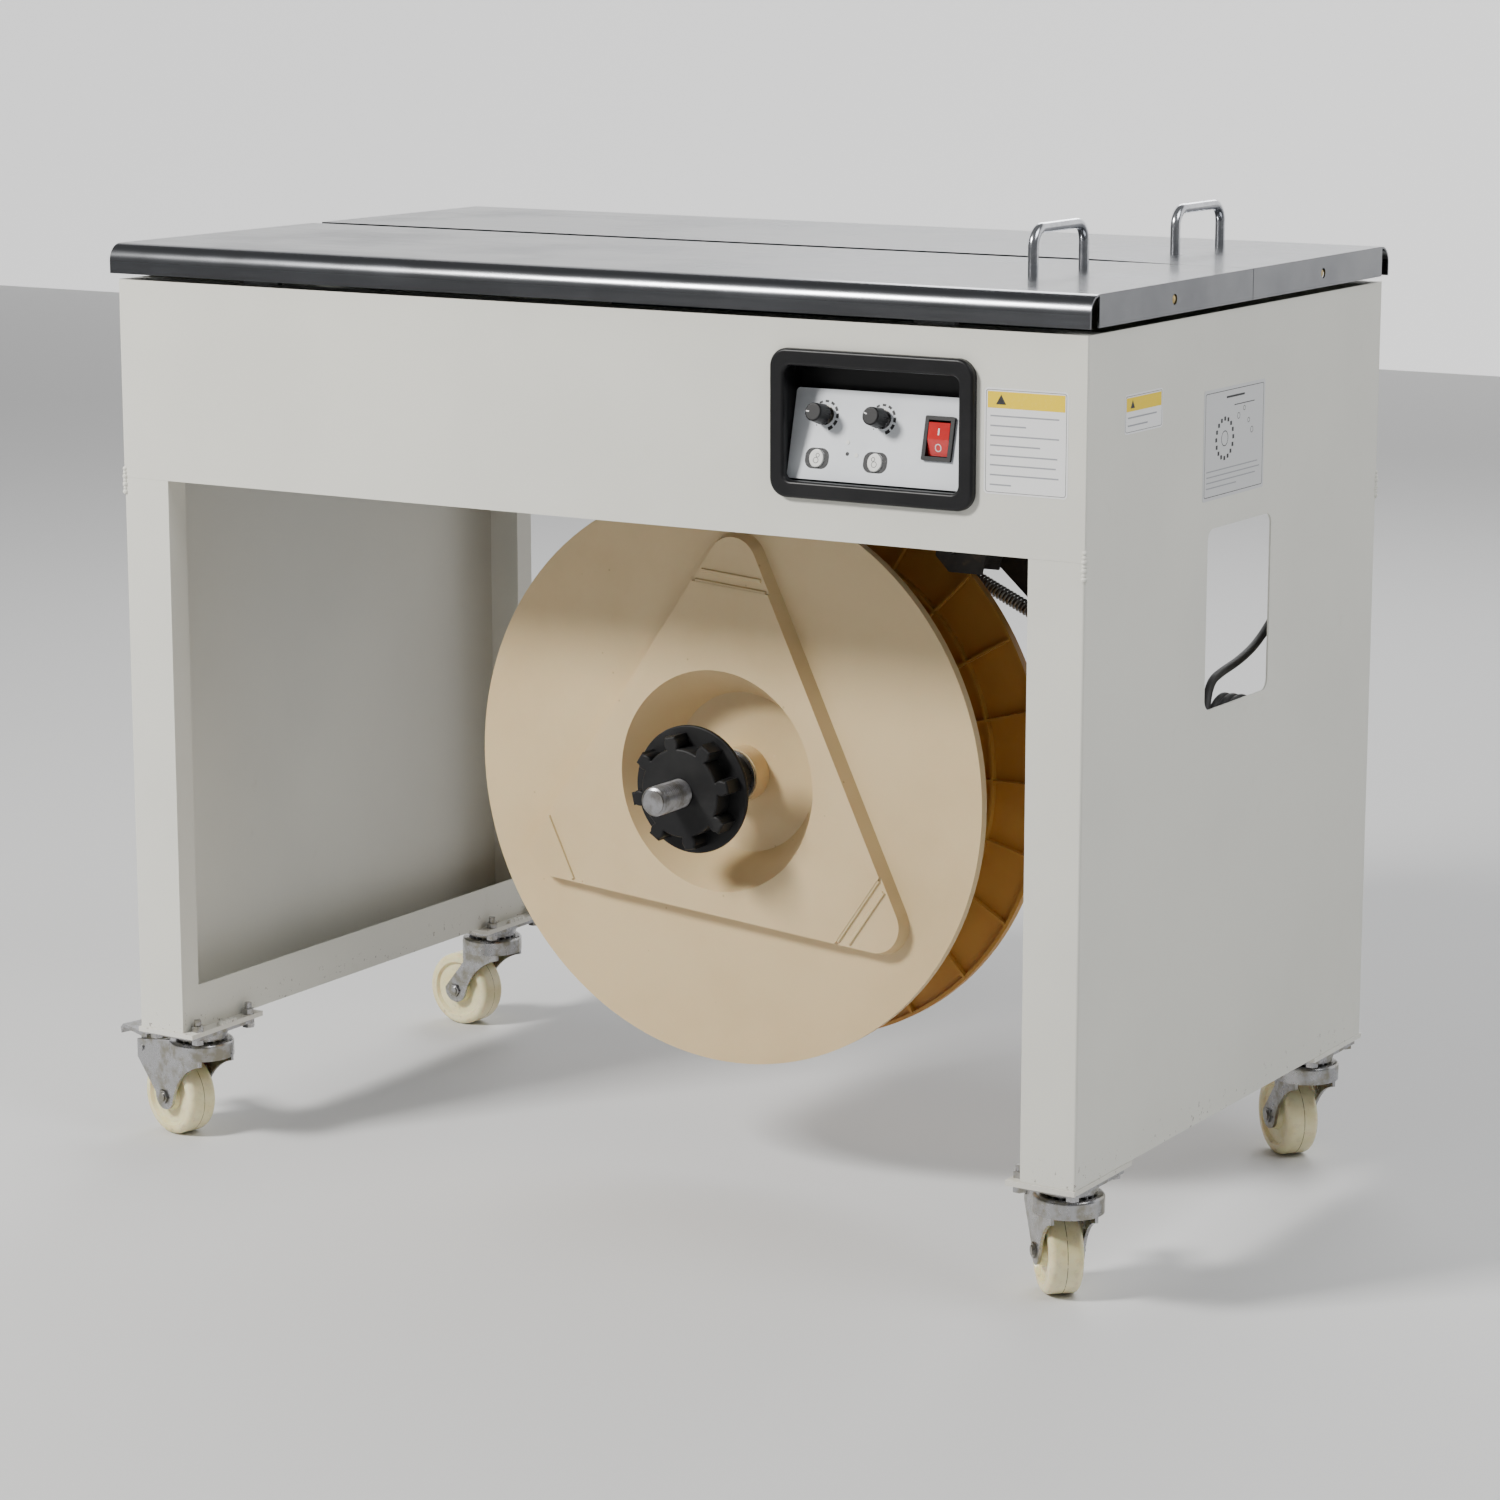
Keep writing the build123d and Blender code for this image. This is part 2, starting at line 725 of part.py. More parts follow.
def triangle(grow):
    """Rounded triangle around the reel's axis, for use inside a sketch."""
    start = 90 + triangle_turn
    with Locations((reel_x, reel_z)):
        with PolarLocations(triangle_tip - triangle_corner, 3, start_angle=start):
            Circle(triangle_corner + grow)
        make_hull()


base_grow = triangle_rise * tan(radians(triangle_taper))
with BuildPart() as reel_front_flange:
    with BuildSketch(facing(reel_front)):
        with Locations((reel_x, reel_z)):
            Circle(reel_radius)
    extrude(amount=-flange_sheet)
    with BuildSketch(facing(reel_front)):
        with Locations((reel_x, reel_z)):
            Circle(reel_radius)
            Circle(reel_radius - 3, mode=Mode.SUBTRACT)
    extrude(amount=-(rim_width + 3))
    with BuildSketch(facing(reel_front)):
        triangle(base_grow)
    extrude(amount=triangle_rise, taper=triangle_taper)
    # Two steps cross the face towards each tip
    for reach in (160.0, 172.0):
        with BuildSketch(facing(face)):
            with Locations((reel_x, reel_z)):
                with PolarLocations(reach + 30, 3, start_angle=90 + triangle_turn):
                    Rectangle(60, 110)
        extrude(amount=-step_depth, mode=Mode.SUBTRACT)
    with BuildSketch(facing(reel_front + flange_sheet)):
        triangle(base_grow - flange_sheet)
    extrude(amount=triangle_rise - 2 * step_depth, taper=triangle_taper, mode=Mode.SUBTRACT)
    with BuildSketch(reel_profile):
        with BuildLine():
            Polyline((0, face - 1), (dish_radius, face - 1), (dish_radius, face),
                     (floor_radius, floor), (0, floor), close=True)
        make_face()
    revolve(axis=reel_axis, mode=Mode.SUBTRACT)
    with BuildSketch(reel_profile):
        with BuildLine():
            Polyline((dish_radius, face), (floor_radius, floor), (boss_radius, floor),
                     (boss_radius, floor - boss_length), (shaft_radius + bore_gap, floor - boss_length),
                     (shaft_radius + bore_gap, floor + flange_sheet),
                     (floor_radius + 2, floor + flange_sheet),
                     (dish_radius + 3.4, face + flange_sheet), (dish_radius + 3.4, face), close=True)
        make_face()
    revolve(axis=reel_axis)
    # One round rib and the radial ribs on the inner face
    with BuildSketch(facing(reel_front + flange_sheet)):
        with Locations((reel_x, reel_z)):
            Circle(rib_ring + rib_thickness / 2)
            Circle(rib_ring - rib_thickness / 2, mode=Mode.SUBTRACT)
            with PolarLocations((core_radius + reel_radius) / 2, rib_count):
                Rectangle(reel_radius - core_radius - 4, rib_thickness)
    extrude(amount=flange_sheet - rib_height)
reel_front_flange.part.label = "reel_front_flange"
export_step(reel_front_flange.part, "parts/reel_front_flange.step")

reel_rear_flange = mirror(reel_front_flange.part, about=facing(reel_middle))
reel_rear_flange.label = "reel_rear_flange"
export_step(reel_rear_flange, "parts/reel_rear_flange.step")

with BuildPart() as reel_core:
    with BuildSketch(facing(reel_front + rib_height + joint_gap)):
        with Locations((reel_x, reel_z)):
            Circle(core_radius)
            Circle(core_radius - core_wall, mode=Mode.SUBTRACT)
    extrude(amount=-(reel_spacing - 2 * rib_height - 2 * joint_gap))
reel_core.part.label = "reel_core"
export_step(reel_core.part, "parts/reel_core.step")

# Shaft: thread for the nut in front, collar behind the reel, journal in the bearing
shaft_front = reel_front - shaft_end
rear_boss_end = 2 * reel_middle - (floor - boss_length)
collar_radius = 42.0
collar_thickness = 6.0
bearing_length = 30.0
bearing_radius = 28.0
bearing_start = rear_boss_end + 0.2 + collar_thickness + 2
plate_y = bearing_start + bearing_length
bracket_plate = 5.0
with BuildPart() as reel_shaft:
    with BuildSketch(facing(shaft_front)):
        with Locations((reel_x, reel_z)):
            Circle(shaft_radius)
    extrude(amount=-(plate_y + bracket_plate + 8 - shaft_front))
    chamfer(reel_shaft.faces().sort_by(Axis.Y)[0].edges(), 1.5)
    with BuildSketch(facing(rear_boss_end + 0.2)):
        with Locations((reel_x, reel_z)):
            Circle(collar_radius)
    extrude(amount=-collar_thickness)
reel_shaft.part.label = "reel_shaft"
export_step(reel_shaft.part, "parts/reel_shaft.step")

front_boss_end = floor - boss_length
with BuildPart() as reel_washer:
    with BuildSketch(facing(front_boss_end - joint_gap)):
        with Locations((reel_x, reel_z)):
            Circle(boss_radius - 1)
            Circle(shaft_radius + running_gap, mode=Mode.SUBTRACT)
    extrude(amount=washer_thickness)
reel_washer.part.label = "reel_washer"
export_step(reel_washer.part, "parts/reel_washer.step")

nut_back = reel_front - nut_face
nut_seat = front_boss_end - washer_thickness - 2 * joint_gap
with BuildPart() as reel_nut:
    with BuildSketch(facing(nut_seat)):
        with Locations((reel_x, reel_z)):
            Circle(nut_neck_radius)
    extrude(amount=nut_seat - nut_back)
    with BuildSketch(facing(nut_back + nut_flange)):
        with Locations((reel_x, reel_z)):
            Circle(nut_flange_radius)
    extrude(amount=nut_flange)
    fillet(reel_nut.edges().filter_by(GeomType.CIRCLE).filter_by(
        lambda e: abs(e.radius - nut_flange_radius) < 0.01), 1.2)
    with BuildSketch(facing(nut_back)):
        with Locations((reel_x, reel_z)):
            Circle(nut_core_radius)
            with PolarLocations(nut_lobe_reach - nut_lobe_radius, 8, start_angle=12):
                Circle(nut_lobe_radius)
                Rectangle(2 * nut_lobe_radius, 2 * nut_lobe_radius * 0.8)
    extrude(amount=nut_height)
    crown = reel_nut.faces().sort_by(Axis.Y)[0]
    fillet(crown.edges(), 2.0)
    with BuildSketch(facing(nut_back - nut_height)):
        with Locations((reel_x, reel_z)):
            Circle(shaft_radius + running_gap)
    extrude(amount=-(nut_seat - nut_back + nut_height), mode=Mode.SUBTRACT)
reel_nut.part.label = "reel_nut"
export_step(reel_nut.part, "parts/reel_nut.step")

with BuildPart() as reel_bearing:
    with BuildSketch(facing(bearing_start)):
        with Locations((reel_x, reel_z)):
            Circle(bearing_radius)
    extrude(amount=-bearing_length)
    with BuildSketch(facing(plate_y - 6)):
        with Locations((reel_x, reel_z)):
            RectangleRounded(84, 84, 10)
    extrude(amount=-6)
    with BuildSketch(facing(bearing_start)):
        with Locations((reel_x, reel_z)):
            Circle(shaft_radius + running_gap)
    extrude(amount=-bearing_length, mode=Mode.SUBTRACT)
reel_bearing.part.label = "reel_bearing"
export_step(reel_bearing.part, "parts/reel_bearing.step")

# Hanger that carries the reel: a channel from the deck down past the axis
hanger_width = 96.0
hanger_lip = 22.0
hanger_bottom = reel_z - 56
foot_depth = 60.0
foot_thickness = 5.0
with BuildPart() as reel_hanger:
    with BuildSketch(facing(plate_y)):
        with Locations((reel_x, (hanger_bottom + deck_z) / 2)):
            Rectangle(hanger_width, deck_z - joint_gap * 2 - hanger_bottom)
        with Locations((reel_x, reel_z)):
            Circle(shaft_radius + 1, mode=Mode.SUBTRACT)
    extrude(amount=-bracket_plate)
    for x in (-1, 1):
        with BuildSketch(facing(plate_y)):
            with Locations((reel_x + x * (hanger_width - bracket_plate) / 2,
                            (hanger_bottom + deck_z) / 2)):
                Rectangle(bracket_plate, deck_z - joint_gap * 2 - hanger_bottom)
        extrude(amount=-(bracket_plate + hanger_lip))
    with BuildSketch(level(deck_z - joint_gap)):
        with Locations((reel_x, plate_y + foot_depth / 2)):
            Rectangle(hanger_width + 44, foot_depth)
    extrude(amount=-foot_thickness)
reel_hanger.part.label = "reel_hanger"
export_step(reel_hanger.part, "parts/reel_hanger.step")

# Bolts of the bearing and the hanger
with BuildPart() as hanger_bolts:
    with BuildSketch(facing(plate_y - 6)):
        with Locations((reel_x, reel_z)):
            with GridLocations(64, 64, 2, 2):
                RegularPolygon(6.5, 6)
    extrude(amount=5)
    with BuildSketch(level(deck_z - joint_gap - foot_thickness)):
        with Locations((reel_x, plate_y + foot_depth / 2)):
            with GridLocations(hanger_width + 22, 36, 2, 2):
                RegularPolygon(6.5, 6)
    extrude(amount=-5)

# Strap guide under the deck: a folded channel with a roller that leads the strap upwards
deck_under = deck_z - joint_gap
guide_x = 229.5
guide_length = 45.0
guide_width = 30.0
guide_sheet = 2.0
guide_bottom = 522.0
guide_foot = 22.0
guide_roller_x = 222.0
guide_roller_z = 541.0
guide_roller_radius = 9.0
guide_axle_radius = 3.0
with BuildPart() as strap_guide:
    with BuildSketch(facing(strap_y)):
        with BuildLine():
            Polyline((guide_x - guide_length / 2, deck_under),
                     (guide_x - guide_length / 2, guide_bottom + 12),
                     (guide_x - guide_length / 2 + 12, guide_bottom),
                     (guide_x + guide_length / 2 - 4, guide_bottom),
                     (guide_x + guide_length / 2, guide_bottom + 16),
                     (guide_x + guide_length / 2, deck_under), close=True)
        make_face()
    extrude(amount=guide_width / 2, both=True)
    with BuildSketch(facing(strap_y)):
        with Locations((guide_x - guide_sheet, (guide_bottom + deck_under) / 2)):
            Rectangle(guide_length, deck_under - guide_bottom + 2)
    extrude(amount=guide_width / 2 - guide_sheet, both=True, mode=Mode.SUBTRACT)
    with BuildSketch(level(deck_under)):
        for way in (-1, 1):
            with Locations((guide_x, strap_y + way * (guide_width + guide_foot - guide_sheet) / 2)):
                Rectangle(guide_length, guide_foot)
    extrude(amount=-guide_sheet)
    with BuildSketch(facing(strap_y)):
        with Locations((guide_roller_x, guide_roller_z)):
            Circle(guide_axle_radius)
    extrude(amount=guide_width / 2 + 2, both=True)
    for way in (-1, 1):
        with BuildSketch(facing(strap_y + way * (guide_width / 2 + 2))):
            with Locations((guide_roller_x, guide_roller_z)):
                RegularPolygon(5.5, 6)
        extrude(amount=-way * 4)
strap_guide.part.label = "strap_guide"
export_step(strap_guide.part, "parts/strap_guide.step")

with BuildPart() as guide_roller:
    with BuildSketch(facing(strap_y)):
        with Locations((guide_roller_x, guide_roller_z)):
            Circle(guide_roller_radius)
            Circle(guide_axle_radius + running_gap, mode=Mode.SUBTRACT)
    extrude(amount=guide_width / 2 - guide_sheet - 0.5, both=True)
guide_roller.part.label = "guide_roller"
export_step(guide_roller.part, "parts/guide_roller.step")

# Reel brake: a bracket under the deck, a lever with a shoe on the rear rim, a pull spring
brake_x = 235.0
brake_z = 548.0
brake_pin_radius = 5.0
lever_y = 26.0
lever_thickness = 5.0
lever_end_x = 147.0
lever_end_z = 523.0
shoe_angle = 52.0
shoe_spread = 5.0
shoe_gap = 0.4
shoe_thickness = 11.0
hook_pin_radius = 4.0
spring_y = 40.0
spring_radius = 6.25
spring_wire = 2.4
anchor_x = 305.0
anchor_z = 451.4
gusset_y = 48.0
gusset_sheet = 3.0
gusset_left = 122.0
gusset_right = 330.0
rear_rim = 2 * reel_middle - reel_front
with BuildPart() as brake_bracket:
    with BuildSketch(facing(gusset_y)):
        with BuildLine():
            Polyline((gusset_left, deck_under), (anchor_x - 23, anchor_z - 4),
                     (anchor_x - 6, anchor_z - 15), (anchor_x + 12, anchor_z - 15),
                     (gusset_right, anchor_z), (gusset_right, deck_under), close=True)
        make_face()
    extrude(amount=-gusset_sheet)
    with BuildSketch(level(deck_under)):
        with Locations(((gusset_left + gusset_right) / 2, gusset_y - 6)):
            Rectangle(gusset_right - gusset_left, 18)
    extrude(amount=-gusset_sheet)
    with BuildSketch(facing(lever_y + lever_thickness + 1)):
        with Locations((brake_x, (brake_z - 12 + deck_under) / 2)):
            Rectangle(26, deck_under - brake_z + 12)
    extrude(amount=-5)
    with BuildSketch(facing(lever_y - 3)):
        with Locations((brake_x, brake_z)):
            Circle(brake_pin_radius)
    extrude(amount=-(lever_thickness + 6))
    with BuildSketch(facing(lever_y - 1)):
        with Locations((brake_x, brake_z)):
            Circle(brake_pin_radius + 3)
    extrude(amount=3)
    with BuildSketch(facing(spring_y - spring_radius)):
        with Locations((anchor_x, anchor_z)):
            Circle(hook_pin_radius)
    extrude(amount=-(gusset_y - spring_y + spring_radius + 1))
brake_bracket.part.label = "brake_bracket"
export_step(brake_bracket.part, "parts/brake_bracket.step")

with BuildPart() as brake_lever:
    shoe_middle = reel_radius + shoe_gap + shoe_thickness / 2
    shoe_x = reel_x + shoe_middle * cos(radians(shoe_angle))
    shoe_z = reel_z + shoe_middle * sin(radians(shoe_angle))
    with BuildSketch(facing(lever_y)):
        with Locations((brake_x, brake_z)):
            Circle(13)
        with Locations((shoe_x, shoe_z)):
            Circle(9)
        make_hull()
        with Locations((brake_x, brake_z)):
            Circle(brake_pin_radius + running_gap, mode=Mode.SUBTRACT)
    extrude(amount=-lever_thickness)
    with BuildSketch(facing(lever_y)):
        with Locations((shoe_x, shoe_z)):
            Circle(9)
        with Locations((lever_end_x, lever_end_z)):
            Circle(8)
        make_hull()
    extrude(amount=-lever_thickness)
    with BuildSketch(facing(rear_rim - rim_width - 3)):
        with Locations((reel_x, reel_z)):
            Circle(reel_radius + shoe_gap + shoe_thickness)
            Circle(reel_radius + shoe_gap, mode=Mode.SUBTRACT)
        with BuildSketch(mode=Mode.INTERSECT):
            with BuildLine():
                far = 1.2 * reel_radius
                Polyline((reel_x, reel_z),
                         (reel_x + far * cos(radians(shoe_angle - shoe_spread)),
                          reel_z + far * sin(radians(shoe_angle - shoe_spread))),
                         (reel_x + far * cos(radians(shoe_angle + shoe_spread)),
                          reel_z + far * sin(radians(shoe_angle + shoe_spread))), close=True)
            make_face()
    extrude(amount=-(lever_y + 1 - rear_rim + rim_width + 3))
    with BuildSketch(facing(spring_y + spring_radius)):
        with Locations((lever_end_x, lever_end_z)):
            Circle(hook_pin_radius)
    extrude(amount=spring_y + spring_radius - lever_y - 1)
brake_lever.part.label = "brake_lever"
export_step(brake_lever.part, "parts/brake_lever.step")

spring_length = hypot(anchor_x - lever_end_x, anchor_z - lever_end_z)
hook_radius = hook_pin_radius + 0.3 + spring_wire / 2
spring_tilt = atan2(anchor_z - lever_end_z, anchor_x - lever_end_x)
spring_plane = Plane(origin=facing(spring_y).from_local_coords((lever_end_x, lever_end_z, 0)),
                     x_dir=(cos(spring_tilt), 0, sin(spring_tilt)), z_dir=(0, -1, 0))
coil_start = hook_radius + 7
with BuildPart() as brake_spring:
    with BuildSketch(spring_plane):
        for end in (0, spring_length):
            with Locations((end, 0)):
                Circle(hook_radius + spring_wire / 2)
                Circle(hook_radius - spring_wire / 2, mode=Mode.SUBTRACT)
        for end in (hook_radius + 4, spring_length - hook_radius - 4):
            with Locations((end, 0)):
                Rectangle(10, spring_wire)
    extrude(amount=spring_wire / 2, both=True)
    with BuildSketch(spring_plane):
        with BuildLine():
            Polyline((coil_start, 0), (spring_length - coil_start, 0),
                     (spring_length - coil_start, spring_radius), (coil_start, spring_radius),
                     close=True)
        make_face()
    revolve(axis=Axis(spring_plane.origin, spring_plane.x_dir))
brake_spring.part.label = "brake_spring"
export_step(brake_spring.part, "parts/brake_spring.step")

# Casters: a mount plate on each leg, a plate with a kingpin under it, fork, wheel, pedal
mount_top = leg_bottom - joint_gap
head_top = mount_top - mount_thickness - joint_gap
cup_top = head_top - head_plate_thickness
cup_bottom = cup_top - cup_height
dome_top = cup_bottom - race_gap
dome_bottom = dome_top - head_height
kingpin_end = dome_bottom - 4


def bolt_places(hand, end):
    """Four bolts of one caster; the inner pair stands beside the leg's bottom rail."""
    return [(hand * (caster_x + across), end * caster_y + along)
            for across in (-bolt_inner, bolt_outer) for along in (-bolt_pitch / 2, bolt_pitch / 2)]


def mount_plate(hand, end):
    """Welded plate that closes the leg, drilled for the caster's bolts."""
    with BuildPart() as plate:
        with BuildSketch(level(mount_top)):
            with Locations((hand * caster_x, end * caster_y)):
                Rectangle(mount_width, mount_length)
            with Locations(bolt_places(hand, end)):
                Circle(bolt_radius + running_gap, mode=Mode.SUBTRACT)
        extrude(amount=-mount_thickness)
    return plate.part


def caster_head(hand, end):
    """Pressed plate, bearing cup and riveted kingpin."""
    with BuildPart() as head:
        with BuildSketch(level(head_top)):
            with Locations((hand * caster_x, end * caster_y)):
                RectangleRounded(mount_width - 2, mount_length - 13, 6)
            with Locations(bolt_places(hand, end)):
                Circle(bolt_radius + running_gap, mode=Mode.SUBTRACT)
        extrude(amount=-head_plate_thickness)
        with BuildSketch(level(cup_top)):
            with Locations((hand * caster_x, end * caster_y)):
                Circle(head_radius - 4)
        extrude(amount=-cup_height, taper=10)
        with BuildSketch(level(cup_bottom)):
            with Locations((hand * caster_x, end * caster_y)):
                Circle(kingpin_radius)
        extrude(amount=kingpin_end - cup_bottom)
        with BuildSketch(level(dome_bottom - 0.5)):
            with Locations((hand * caster_x, end * caster_y)):
                Circle(kingpin_radius + 3)
        extrude(amount=kingpin_end - dome_bottom + 0.5, taper=20)
    return head.part


def caster_bolt(x, y, inner):
    """Hex bolt from below; the inner ones stand above the plate with a nut."""
    with BuildPart() as bolt:
        with BuildSketch(level(cup_top)):
            with Locations((x, y)):
                RegularPolygon(5.5, 6)
        extrude(amount=-4.2)
        with BuildSketch(level(cup_top)):
            with Locations((x, y)):
                Circle(bolt_radius)
        extrude(amount=mount_top - cup_top + (10 if inner else 0))
        if inner:
            with BuildSketch(level(mount_top)):
                with Locations((x, y)):
                    RegularPolygon(5.3, 6)
            extrude(amount=5)
    return bolt.part


caster_mounts = Compound(
    label="caster_mounts", children=[mount_plate(hand, end) for name, hand, end, *rest in casters])
export_step(caster_mounts, "parts/caster_mounts.step")

caster_heads = Compound(
    label="caster_heads", children=[caster_head(hand, end) for name, hand, end, *rest in casters])
export_step(caster_heads, "parts/caster_heads.step")

mounting_bolts = Compound(
    label="mounting_bolts",
    children=[caster_bolt(x, y, abs(x) < caster_x)
              for name, hand, end, *rest in casters for x, y in bolt_places(hand, end)]
    + hanger_bolts.part.solids())
export_step(mounting_bolts, "parts/mounting_bolts.step")


def fork_side(hand, end, heading):
    """Upright plane through the stem: X the way the fork points, Y up."""
    turn = radians(heading)
    return Plane(origin=(cabinet_x + hand * caster_x, cabinet_y + end * caster_y, 0),
                 x_dir=(sin(turn), -cos(turn), 0), z_dir=(-cos(turn), -sin(turn), 0))


cheek_inner = wheel_width / 2 + cheek_gap
cheek_outer = cheek_inner + cheek
axle_cap = 21.0
axle_boss = 11.0
pedal_pin_reach = 62.0
pedal_pin_z = 72.0
pedal_pin_radius = 3.0
pedal_nose = 10.0
pedal_nose_radius = 3.5
pedal_travel = 20.0


def make_fork(hand, end, heading, brake):
    """Dome under the cup, two cheeks down to the axle, and longer cheeks where there is a brake."""
    across = fork_side(hand, end, heading)
    dome = Plane(origin=across.origin + Vector(0, 0, dome_top), x_dir=across.x_dir, z_dir=(0, 0, 1))
    tail = -(pedal_pin_reach + 6) if brake else -21.0
    shoulder = dome_top - 4
    with BuildPart() as fork:
        with BuildSketch(dome):
            Circle(head_radius)
        extrude(amount=-head_height)
        fillet(fork.faces().sort_by(Axis.Z)[-1].edges(), 3)
        with BuildSketch(across):
            with BuildLine():
                Polyline((20, shoulder), (20, dome_bottom - 5))
                ThreePointArc((20, dome_bottom - 5), (-9, 52), (1 - trail + axle_boss, 30))
                ThreePointArc((1 - trail + axle_boss, 30), (-trail, wheel_radius - axle_boss),
                              (-trail - axle_boss, wheel_radius + 2))
                Polyline((-trail - axle_boss, wheel_radius + 2), (tail, dome_bottom - 12),
                         (tail, dome_bottom + 4), (-21, shoulder), (20, shoulder))
            make_face()
        extrude(amount=cheek_outer, both=True)
        with BuildSketch(across):
            with Locations((-20, dome_bottom / 2)):
                Rectangle(150, dome_bottom)
            if brake:
                with Locations((-80 - head_radius, dome_top / 2 + 10)):
                    Rectangle(160, dome_top + 20)
        extrude(amount=cheek_inner, both=True, mode=Mode.SUBTRACT)
        with BuildSketch(dome):
            Circle(kingpin_radius + running_gap)
        extrude(amount=-head_height, mode=Mode.SUBTRACT)
        with BuildSketch(across):
            with Locations((-trail, wheel_radius)):
                Circle(axle_radius)
        extrude(amount=axle_cap, both=True)
        for way in (-1, 1):
            nut = Plane(origin=across.origin + across.z_dir * way * cheek_outer,
                        x_dir=across.x_dir, z_dir=across.z_dir)
            with BuildSketch(nut):
                with Locations((-trail, wheel_radius)):
                    RegularPolygon(6.5, 6)
            extrude(amount=way * (axle_cap - cheek_outer - 1))
        if brake:
            with BuildSketch(across):
                with Locations((-pedal_pin_reach, pedal_pin_z)):
                    Circle(pedal_pin_radius + running_gap)
            extrude(amount=cheek_outer + 2, both=True, mode=Mode.SUBTRACT)
    return fork


def make_wheel(hand, end, heading):
    """Moulded wheel: rounded tread, recessed sides and a hub."""
    across = fork_side(hand, end, heading)
    hub = Plane(origin=across.from_local_coords((-trail, wheel_radius, 0)),
                x_dir=(0, 0, 1), z_dir=across.x_dir)
    half = wheel_width / 2
    crown = 5.0
    boss = cheek_inner - 0.5
    bore = axle_radius + running_gap
    with BuildPart() as wheel:
        with BuildSketch(hub):
            with BuildLine():
                Polyline((bore, boss), (axle_boss, boss), (axle_boss + 2, half - 3),
                         (24, half - 3), (26, half), (wheel_radius - crown, half))
                ThreePointArc((wheel_radius - crown, half),
                              (wheel_radius - crown * (1 - cos(pi / 4)), half - crown * (1 - sin(pi / 4))),
                              (wheel_radius, half - crown))
                Line((wheel_radius, half - crown), (wheel_radius, 0))
                Line((wheel_radius, 0), (bore, 0))
                Line((bore, 0), (bore, boss))
            make_face()
            mirror(about=Plane.XZ)
        revolve(axis=Axis(hub.origin, hub.y_dir))
    return wheel


def make_pedal(hand, end, heading):
    """Brake pedal between the cheeks: pin, tread and a nose that locks the wheel."""
    across = fork_side(hand, end, heading)
    away = degrees(atan2(wheel_radius - pedal_pin_z, pedal_pin_reach - trail)) - pedal_travel
    nose_x = -pedal_pin_reach + pedal_nose * cos(radians(away))
    nose_z = pedal_pin_z + pedal_nose * sin(radians(away))
    with BuildPart() as pedal:
        with BuildSketch(across):
            with Locations((-pedal_pin_reach, pedal_pin_z)):
                Circle(6)
            with Locations((nose_x, nose_z)):
                Circle(pedal_nose_radius)
            make_hull()
        extrude(amount=cheek_inner - 4, both=True)
        with BuildSketch(across):
            with BuildLine():
                Polyline((-pedal_pin_reach + 4, pedal_pin_z + 2), (-pedal_pin_reach + 4, dome_bottom + 9),
                         (-pedal_reach + 4, dome_bottom + 12), (-pedal_reach, dome_bottom + 8),
                         (-pedal_reach + 1, dome_bottom + 3), (-pedal_reach + 4, dome_bottom + 9),
                         (-pedal_pin_reach - 4, dome_bottom + 6), (-pedal_pin_reach - 5, pedal_pin_z),
                         close=True)
            make_face()
        extrude(amount=cheek_inner - 0.5, both=True)
        with BuildSketch(across):
            with Locations((-pedal_pin_reach, pedal_pin_z)):
                Circle(pedal_pin_radius)
        extrude(amount=cheek_outer + 1.2, both=True)
    return pedal


for name, hand, end, heading, brake in casters:
    fork = make_fork(hand, end, heading, brake)
    fork.part.label = f"{name}_fork"
    export_step(fork.part, f"parts/{name}_fork.step")
    wheel = make_wheel(hand, end, heading)
    wheel.part.label = f"{name}_wheel"
    export_step(wheel.part, f"parts/{name}_wheel.step")
    if brake:
        pedal = make_pedal(hand, end, heading)
        pedal.part.label = f"{name}_pedal"
        export_step(pedal.part, f"parts/{name}_pedal.step")

# Strapping head under the slot: side plates with a feed roller and a cam shaft between them
head_foot = deck_z + deck_thickness + joint_gap
head_plate = 8.0
head_inner = 35.0
head_middle_y = slot_front + slot_width / 2
head_left = 90.0
head_right = 290.0
head_rise = body_top - 1
feed_x = 200.0
feed_z = 684.0
feed_radius = 26.0
feed_shaft_radius = 8.0
cam_x = 134.0
cam_z = 668.0
cam_radius = 24.0
cam_throw = 7.0
with BuildPart() as head_frame:
    with BuildSketch(facing(head_middle_y)):
        with BuildLine():
            Polyline((head_left, head_foot), (head_left, head_rise - 24), (head_left + 24, head_rise),
                     (head_right - 60, head_rise), (head_right, head_rise - 60),
                     (head_right, head_foot), close=True)
        make_face()
    extrude(amount=head_inner + head_plate, both=True)
    with BuildSketch(facing(head_middle_y)):
        with Locations(((head_left + head_right) / 2, (head_foot + head_rise) / 2)):
            Rectangle(head_right - head_left + 4, head_rise - head_foot + 4)
    extrude(amount=head_inner, both=True, mode=Mode.SUBTRACT)
    with BuildSketch(facing(head_middle_y)):
        for x, z in ((head_left + 14, head_foot + 14), (head_right - 14, head_foot + 14),
                     (head_right - 40, head_rise - 40)):
            with Locations((x, z)):
                Circle(7)
    extrude(amount=head_inner + 1, both=True)
    with BuildSketch(facing(head_middle_y)):
        for x, z in ((feed_x, feed_z), (cam_x, cam_z)):
            with Locations((x, z)):
                Circle(feed_shaft_radius + running_gap)
    extrude(amount=head_inner + head_plate, both=True, mode=Mode.SUBTRACT)
head_frame.part.label = "head_frame"
export_step(head_frame.part, "parts/head_frame.step")

